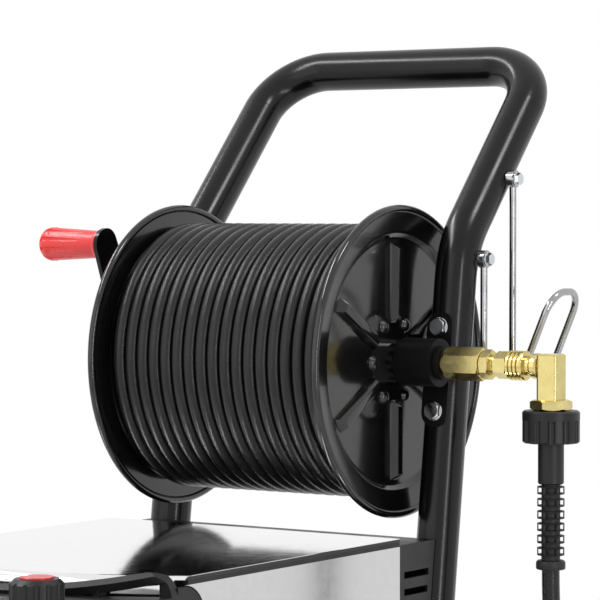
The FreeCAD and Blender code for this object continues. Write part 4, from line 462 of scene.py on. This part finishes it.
def layInnerTurns():
    # the full layer under the outer one, seen in the gaps beside the flanges
    ends, bumps = innerLayer["halfWidth"], []
    for turn in range(innerLayer["turns"]):
        middle = innerLayer["pitch"] * (turn - (innerLayer["turns"] - 1) / 2)
        for angle in innerLayer["bumpAngles"]:
            along = middle + innerLayer["turnRadius"] * math.cos(math.radians(angle))
            rise = innerLayer["turnRadius"] * (math.sin(math.radians(angle)) - 1)
            bumps.append((along, innerLayer["crest"] + rise))
    profile = [(-ends, innerLayer["drumRadius"]), *bumps, (ends, innerLayer["drumRadius"])]
    bm = bmesh.new()
    turnProfile(bm, profile, reelAxis * mm, rightWay, innerLayer["steps"], closed=True)
    pieceFrom("innerHoseTurns", bm, softRubber, "reel", ["hose_core"], smooth=50)
    print("inner turns laid")


layInnerTurns()


# the moulded relief under the hose tail: pairs of thin rings joined by short pillars, and an end collar
relief = dict(x=275, top=538.4, bore=7.9, length=74, pairs=6, first=1.6, pitch=10.6, ring=1.5, cell=4.3,
              coreRadius=8.2, ringRadius=12.0, pillarRadius=11.2, pillars=6, pillarSize=(1.1, 2.2),
              pillarSunk=0.2, collar=8, collarRadius=12.8)


def makeRelief():
    bm = bmesh.new()
    top = at(relief["x"], 0, relief["top"])
    bore, core, outer, end = relief["bore"], relief["coreRadius"], relief["ringRadius"], -relief["length"]
    turnProfile(bm, [(0, bore), (0, core), (end + relief["collar"], core), (end + relief["collar"], bore)],
                top, upWay, steps=32, closed=True)
    for pair in range(relief["pairs"]):
        start = -relief["first"] - relief["pitch"] * pair
        for edge in (start, start - relief["ring"] - relief["cell"]):
            low = edge - relief["ring"]
            ring = [(edge, core - 0.3), (edge - 0.25, outer - 0.5), (edge - 0.7, outer),
                    (low + 0.7, outer), (low + 0.25, outer - 0.5), (low, core - 0.3)]
            turnProfile(bm, ring, top, upWay, steps=32, closed=True)
        height = relief["cell"] + 2 * relief["pillarSunk"]
        for number in range(relief["pillars"]):
            turn = Matrix.Rotation(2 * math.pi * (number + 0.5) / relief["pillars"], 4, "Z")
            spot = turn @ Vector((relief["pillarRadius"], 0, start - relief["ring"] - relief["cell"] / 2))
            size = Matrix.Diagonal((relief["pillarSize"][0] * mm, relief["pillarSize"][1] * mm, height * mm, 1))
            bmesh.ops.create_cube(bm, size=1, matrix=Matrix.Translation(top + spot * mm) @ turn @ size)
    far, wide = end + relief["collar"], relief["collarRadius"]
    collar = [(far, bore), (far, wide - 1.6), (far - 0.8, wide - 0.6), (far - 2.0, wide), (end + 1.2, wide),
              (end + 0.4, wide - 0.4), (end, wide - 1.4), (end, bore)]
    turnProfile(bm, collar, top, upWay, steps=40, closed=True)
    pieceFrom("ringedRelief", bm, softRubber, "root", ["strain_relief"], smooth=40)
    print("relief made")


makeRelief()


# bolts: width across flats, height with the washer, the washer's width and thickness, and where each one sits
washerOverlap = 0.2  # how far a head stands into its washer
bracketBolts = dict(across=14.4, height=5.5, lean=7.4, washer=17.5, thick=1.2, seats=[
    (-148.5, 22.75, 670.32), (148.5, 22.75, 670.32), (-148.5, 13.09, 595.95), (148.5, 13.09, 595.95)])
hookBolts = dict(across=10, height=5, washer=12.4, thick=1.0, seats=[
    (174.65, 62.5, 731), (174.65, 114.5, 803.6)])
flangeBolts = dict(face=115, circle=36, radius=6.5, height=4.5, count=6, first=30, sunk=0.5, foot=0.6,
                   narrowed=0.92)


def washerUnder(bm, seat, axis, width, thickness):
    turnProfile(bm, [(0, 2), (0, width / 2 - 0.3), (0.3, width / 2), (thickness - 0.3, width / 2),
                     (thickness, width / 2 - 0.4), (thickness, 2)], seat, axis, steps=32, closed=True)


def makeFrameBolts():
    bm = bmesh.new()
    lean = math.radians(bracketBolts["lean"])
    forward = Vector((0, -math.cos(lean), math.sin(lean)))
    for bolts, axis in ((bracketBolts, forward), (hookBolts, rightWay)):
        head = bolts["thick"] - washerOverlap
        for seat in bolts["seats"]:
            washerUnder(bm, at(*seat), axis, bolts["washer"], bolts["thick"])
            chamferedHexagon(bm, at(*seat) + axis * head * mm, axis, bolts["across"], bolts["height"] - head)
    pieceFrom("chamferedBolts", bm, chrome, "root", ["frame_bolts"], smooth=25)


def makeFlangeBolts():
    bm = bmesh.new()
    wide, foot = flangeBolts["radius"], flangeBolts["foot"]
    high, narrow = flangeBolts["height"] - foot, wide * flangeBolts["narrowed"]
    dome = [(-flangeBolts["sunk"], wide), (foot, wide)]
    dome += [(foot + high * math.sin(math.radians(a)), narrow * math.cos(math.radians(a)))
             for a in (5, 20, 36, 52, 68, 82, 90)]
    for side in (-1, 1):
        for number in range(flangeBolts["count"]):
            angle = math.radians(flangeBolts["first"] + 360 / flangeBolts["count"] * number)
            spot = at(side * flangeBolts["face"], flangeBolts["circle"] * math.sin(angle),
                      reelHeight + flangeBolts["circle"] * math.cos(angle))
            turnProfile(bm, dome, spot, rightWay * side, steps=20)
    pieceFrom("domedBolts", bm, reelEnamel, "reel", ["flange_bolts"], smooth=40)


makeFrameBolts()
makeFlangeBolts()
print("bolts made")


# the reel's pressed flanges, with rounded ribs, step and rim
flange = dict(face=113, sheet=2, shaft=10.05, hub=21.5, hubEnd=126, bead=3.5, beadAt=(121, 136.5), steps=112,
              beadPoints=16, backOut=0.8,
              web=[(0, 109), (0, 110.4), (0.4, 111.3), (3.4, 114.4), (4.2, 115.6), (4.5, 117.4), (7, 136.5)])
ribs = dict(count=6, start=34, end=107, foot=15, crest=8, height=7, slope=6, sunk=1, edge=0.8)


def layRib(bm, side, number):
    size, top = ribs, flange["face"] + flange["sheet"]
    verts = bmesh.ops.create_cube(bm, size=2)["verts"]
    for vert in verts:
        outer = vert.co.x > 0
        wide, lean = (size["crest"] / 2, size["slope"]) if outer else (size["foot"] / 2, 0)
        reach = size["end"] - lean if vert.co.z > 0 else size["start"] + lean
        vert.co = at(side * (top + (size["height"] if outer else -size["sunk"])), wide * vert.co.y,
                     reelHeight + reach)
    bmesh.ops.rotate(bm, verts=verts, cent=at(*reelCentre),
                     matrix=Matrix.Rotation(2 * math.pi * number / size["count"], 3, "X"))
    edges = list({edge for vert in verts for edge in vert.link_edges})
    bmesh.ops.bevel(bm, geom=edges, offset=size["edge"] * mm, segments=2, profile=0.6, affect="EDGES")


def makeFlange(name, side):
    size, bm = flange, bmesh.new()
    face, axis = size["face"], rightWay * side
    hub = [(face, size["shaft"]), (size["hubEnd"], size["shaft"]), (size["hubEnd"], size["hub"]),
           (face + size["sheet"], size["hub"])]
    front = [(face + size["sheet"] + along, out) for along, out in size["web"]]
    back = [(along - size["sheet"], out + size["backOut"]) for along, out in reversed(front)]
    turnProfile(bm, hub + front + back, at(*reelCentre), axis, size["steps"], closed=True)
    along, out = size["beadAt"]
    angles = [2 * math.pi * part / size["beadPoints"] for part in range(size["beadPoints"])]
    bead = [(along + size["bead"] * math.cos(angle), out + size["bead"] * math.sin(angle)) for angle in angles]
    turnProfile(bm, bead, at(*reelCentre), axis, size["steps"], closed=True)
    for number in range(ribs["count"]):
        layRib(bm, side, number)
    pieceFrom(f"{name}PressedFlange", bm, reelEnamel, "reel", [f"{name}_flange"], smooth=30)


makeFlange("left", -1)
makeFlange("right", 1)
print("flanges made")


# brass hexagons of the swivel's line and the crank's nut, with their ridges where the photograph shows them
hexagons = dict(
    swivel=dict(spot=(169.5, 0, 640), axis=rightWay, across=26, height=38.5, bore=20.3, slope=62, turn=0,
                neck=[(38.4, 10.0), (38.5, 8.0), (49.5, 8.0), (50.5, 7.2), (52.4, 7.2)]),
    coupler=dict(spot=(222, 0, 640), axis=rightWay, across=21, height=13, bore=16.9, slope=28, turn=0,
                 neck=[(0.2, 0), (0.2, 8.3), (0.4, 8.5), (34, 8.5), (34, 7), (35.8, 7), (36.2, 10.4),
                       (37, 11.3), (41.4, 11.3), (42.6, 10.6), (43, 9.6), (43, 0)]),
    swivelNut=dict(spot=(208.3, 0, 640), axis=rightWay, across=23, height=9, bore=16.2, slope=28, turn=0,
                   neck=[]),
    elbowNut=dict(spot=(275, 0, 602.4), axis=upWay, across=32, height=9, bore=0, slope=28, turn=4, neck=[]),
    crankNut=dict(spot=(-178, 0, 640), axis=-rightWay, across=22, height=9, bore=14.1, slope=0, turn=12,
                  neck=[]))


def makeHexagon(name, key, finish, body, instead):
    size = hexagons[key]
    spot, axis = at(*size["spot"]), size["axis"]
    bm = bmesh.new()
    chamferedHexagon(bm, spot, axis, size["across"], size["height"], size["slope"], size["bore"], size["turn"])
    if size["neck"]:
        turnProfile(bm, size["neck"], spot, axis, steps=40)
    pieceFrom(name, bm, finish, body, [instead], smooth=25)


makeHexagon("turnedSwivel", "swivel", brass, "root", "swivel_body")
makeHexagon("turnedCoupler", "coupler", brass, "root", "coupler_body")
makeHexagon("swivelLockNut", "swivelNut", brass, "root", "swivel_nut")
makeHexagon("elbowLockNut", "elbowNut", brass, "root", "elbow_nut")
makeHexagon("crankHexNut", "crankNut", zincPlate, "reel", "crank_nut")
print("hexagons made")


# tyres: the tread's blocks rise by lug, and cover treadHalf to each side of the middle down to the shoulder
tyres = dict(near=172, width=50, y=-60, radius=125, rim=88, steps=60, lug=2.6, groove=1.1, treadHalf=18.5,
             shoulder=8)


def makeTyre(name, side):
    hand = "left" if side < 0 else "right"
    inner, outer, width = tyres["rim"], tyres["radius"] - tyres["lug"], tyres["width"]
    wall = [(5, inner), (3, inner + 0.6), (0.8, inner + 4), (-0.6, inner + 10), (-1.4, inner + 17),
            (0, inner + 17.6), (-0.6, inner + 19), (0.6, inner + 24), (3.4, outer - 5), (7.5, outer - 1.6)]
    crown = [(16.5, outer - 0.3), (25, outer), (33.5, outer - 0.3)]
    profile = wall + crown + [(width - along, out) for along, out in reversed(wall)]
    bm = bmesh.new()
    turnProfile(bm, profile, at(side * tyres["near"], tyres["y"], tyres["radius"]), rightWay * side,
                tyres["steps"], closed=True)
    bmesh.ops.recalc_face_normals(bm, faces=bm.faces)
    # the tread's blocks rise from the crown between their grooves
    hub = at(side * (tyres["near"] + width / 2), tyres["y"], tyres["radius"])
    tread = []
    for face in bm.faces:
        spot = face.calc_center_median() - hub
        if abs(spot.x) < tyres["treadHalf"] * mm and spot.yz.length > (outer - tyres["shoulder"]) * mm:
            tread.append(face)
    bmesh.ops.inset_individual(bm, faces=tread, thickness=tyres["groove"] * mm, depth=tyres["lug"] * mm)
    pieceFrom(name, bm, tyreRubber, f"{hand}_wheel", [f"{hand}_tyre"], smooth=30)


makeTyre("leftTreadedTyre", -1)
makeTyre("rightTreadedTyre", 1)
print("tyres made")


# gauge and rocker lie on the sloping fascia of the front cowl
def fasciaFrame(spot, slope):
    # the frame's three ways are right, up the slope and out of it
    turn = math.radians(slope)
    up, out = Vector((0, math.cos(turn), math.sin(turn))), Vector((0, -math.sin(turn), math.cos(turn)))
    return Matrix.Translation(at(*spot)) @ Matrix((rightWay, up, out)).transposed().to_4x4(), out


# the dial reads 0 to top round its sweep, from its low angle on, with a number at every major mark
gauge = dict(spot=(0, -474, 466.95), slope=10, radius=25, faceRadius=21.4, lowAngle=225, sweep=270, reading=0,
             top=250, parts=25, major=5, tickIn=1.6, longTick=(3.6, 0.7), shortTick=(2.0, 0.35), textSize=3.9,
             textIn=8.2, inkHeight=1.55, inkThick=0.2, needleLength=20, needleOut=6.2, needleHeight=2.3)


def dialAngle(share):
    return math.radians(gauge["lowAngle"] - gauge["sweep"] * share)


def layTicks(bm, frameOf):
    for mark in range(gauge["parts"] + 1):
        length, thick = gauge["shortTick"] if mark % gauge["major"] else gauge["longTick"]
        along = Vector((gauge["faceRadius"] - gauge["tickIn"] - length / 2, 0, gauge["inkHeight"]))
        spot = Matrix.Rotation(dialAngle(mark / gauge["parts"]), 4, "Z") @ Matrix.Translation(along * mm)
        size = Matrix.Diagonal((length * mm, thick * mm, gauge["inkThick"] * mm, 1))
        bmesh.ops.create_cube(bm, size=1, matrix=frameOf @ spot @ size)


def layNumbers(bm, frameOf):
    count = gauge["parts"] // gauge["major"]
    for index in range(count + 1):
        words = bpy.data.curves.new("dialNumber", "FONT")
        words.body = str(gauge["top"] * index // count)
        words.size = gauge["textSize"] * mm
        words.align_x, words.align_y = "CENTER", "CENTER"
        words.extrude = gauge["inkThick"] / 2 * mm
        holder = bpy.data.objects.new("dialNumber", words)
        bpy.context.scene.collection.objects.link(holder)
        flat = bpy.data.meshes.new_from_object(holder)
        angle, out = dialAngle(index / count), gauge["faceRadius"] - gauge["textIn"]
        spot = Vector((math.cos(angle) * out, math.sin(angle) * out, gauge["inkHeight"]))
        flat.transform(frameOf @ Matrix.Translation(spot * mm))
        bm.from_mesh(flat)
        bpy.data.objects.remove(holder)
        bpy.data.meshes.remove(flat)


def makeGauge():
    frameOf, out = fasciaFrame(gauge["spot"], gauge["slope"])
    seat, wide, face = at(*gauge["spot"]), gauge["radius"], gauge["faceRadius"]
    bm = bmesh.new()
    turnProfile(bm, [(-10, 4), (-10, wide - 3.4), (0, wide - 3.4), (0, wide - 0.4), (0.5, wide), (2.6, wide),
                     (3.6, wide - 0.5), (4, wide - 1.5), (3.8, wide - 2.6), (1.2, face), (1.0, face - 1),
                     (1.0, 4)], seat, out, steps=64, closed=True)
    pieceFrom("gaugeBezel", bm, blackPlastic, "root", ["pressure_gauge"], smooth=30)
    bm = bmesh.new()
    turnProfile(bm, [(0.6, 0), (0.6, face), (1.3, face), (1.5, face - 0.6), (1.5, 0)], seat, out, steps=64)
    pieceFrom("gaugeFace", bm, whitePlastic, smooth=30)
    bm = bmesh.new()
    layTicks(bm, frameOf)
    layNumbers(bm, frameOf)
    pieceFrom("gaugeMarks", bm, dialInk, smooth=30)
    bm = bmesh.new()
    needle = bmesh.ops.create_cone(bm, segments=4, radius1=1.1 * mm, radius2=0.25 * mm,
                                   depth=gauge["needleLength"] * mm, cap_ends=True)["verts"]
    lay = Matrix.Rotation(dialAngle(gauge["reading"] / gauge["top"]), 4, "Z")
    lay = lay @ Matrix.Translation(Vector((gauge["needleOut"], 0, gauge["needleHeight"])) * mm)
    lay = lay @ Matrix.Rotation(math.pi / 2, 4, "Y") @ Matrix.Rotation(math.pi / 4, 4, "Z")
    bmesh.ops.transform(bm, matrix=frameOf @ lay, verts=needle)
    turnProfile(bm, [(1.4, 0), (1.4, 2.6), (3.0, 2.4), (3.3, 1.8), (3.3, 0)], seat, out, steps=24)
    pieceFrom("gaugeNeedle", bm, redCapPlastic, smooth=30)
    print("gauge made")


makeGauge()


# plain line and ring on the rocker, moulded proud of it
rocker = dict(spot=(-86, -468, 467.99), slope=10, reach=9.5, lineSize=(0.9, 4.6, 0.7), lineHeight=1.6,
              ringHeight=1.25)


def markRocker():
    frameOf, out = fasciaFrame(rocker["spot"], rocker["slope"])
    bm = bmesh.new()
    line = Matrix.Translation(Vector((0, rocker["reach"], rocker["lineHeight"])) * mm)
    size = Matrix.Diagonal((*(length * mm for length in rocker["lineSize"]), 1))
    bmesh.ops.create_cube(bm, size=1, matrix=frameOf @ line @ size)
    ring = frameOf @ (Vector((0, -rocker["reach"], rocker["ringHeight"])) * mm)
    turnProfile(bm, [(0, 1.7), (0, 2.6), (0.7, 2.5), (0.7, 1.8)], ring, out, steps=28, closed=True)
    pieceFrom("rockerMarks", bm, whitePlastic, "switch", smooth=30)
    print("switch marked")


markRocker()


# metres and watts: every lamp aims at the machine's middle
studio = dict(floorRadius=2.6, floorClear=1.1, floorGlow=0.35, ambient=0.42, aim=(0, 0.15, 0.65), lamps=dict(
    reelLamp=dict(place=(-1.35, -0.75, 2.55), size=(2.5, 0.2), power=34),
    sideLamp=dict(place=(2.4, -1.0, 0.9), size=(0.16, 1.7), power=14),
    tubeLamp=dict(place=(1.4, 0.1, 2.7), size=(0.5, 0.5), power=14),
    frontLamp=dict(place=(-0.6, -3.0, 1.6), size=(3.0, 2.6), power=17)))


def addLamp(name, place, size, power):
    lamp = bpy.data.objects.new(name, bpy.data.lights.new(name, "AREA"))
    lamp.data.shape = "RECTANGLE"
    lamp.data.size, lamp.data.size_y = size
    lamp.data.energy = power
    lamp.location = place
    lamp.rotation_mode = "QUATERNION"
    lamp.rotation_quaternion = (Vector(studio["aim"]) - Vector(place)).to_track_quat("-Z", "Y")
    bpy.context.scene.collection.objects.link(lamp)


def layFloor():
    # a pale round floor that thins out to the white backdrop at its edge
    bm = bmesh.new()
    bmesh.ops.create_circle(bm, segments=96, radius=studio["floorRadius"], cap_ends=True)
    mesh = bpy.data.meshes.new("studioFloor")
    bm.to_mesh(mesh)
    bm.free()
    floor = bpy.data.objects.new("studioFloor", mesh)
    bpy.context.scene.collection.objects.link(floor)
    finish, tree, shader = newFinish("studioFloor", Roughness=0.9, Specular_IOR_Level=0.1)
    shader.inputs["Base Color"].default_value = (0.86, 0.86, 0.86, 1)
    shader.inputs["Emission Color"].default_value = (1, 1, 1, 1)
    rays = addNode(tree, "LightPath")
    seen = work(tree, "MAXIMUM", rays.outputs["Is Camera Ray"], rays.outputs["Is Glossy Ray"])
    link(tree, work(tree, "MULTIPLY", seen, studio["floorGlow"]), shader, "Emission Strength")
    away = addNode(tree, "VectorMath", {0: objectPlace(tree)}, operation="LENGTH").outputs["Value"]
    link(tree, spread(tree, away, 1, 0, studio["floorClear"], studio["floorRadius"] - 0.05), shader, "Alpha")
    mesh.materials.append(finish)


def lightStudio():
    world = bpy.data.worlds.new("studio")
    bpy.context.scene.world = world
    world.use_nodes = True
    tree = world.node_tree
    rays = addNode(tree, "LightPath")
    seen = rays.outputs["Is Camera Ray"]
    for other in ("Is Glossy Ray", "Is Transmission Ray"):
        seen = work(tree, "MAXIMUM", seen, rays.outputs[other])
    strength = spread(tree, seen, studio["ambient"], 1.0, 0, 1)
    background = tree.nodes["Background"]
    background.inputs["Color"].default_value = (1, 1, 1, 1)
    tree.links.new(strength, background.inputs["Strength"])
    for name, lamp in studio["lamps"].items():
        addLamp(name, **lamp)
    bpy.context.scene.view_settings.view_transform = "Standard"


layFloor()
lightStudio()
print("studio lit")
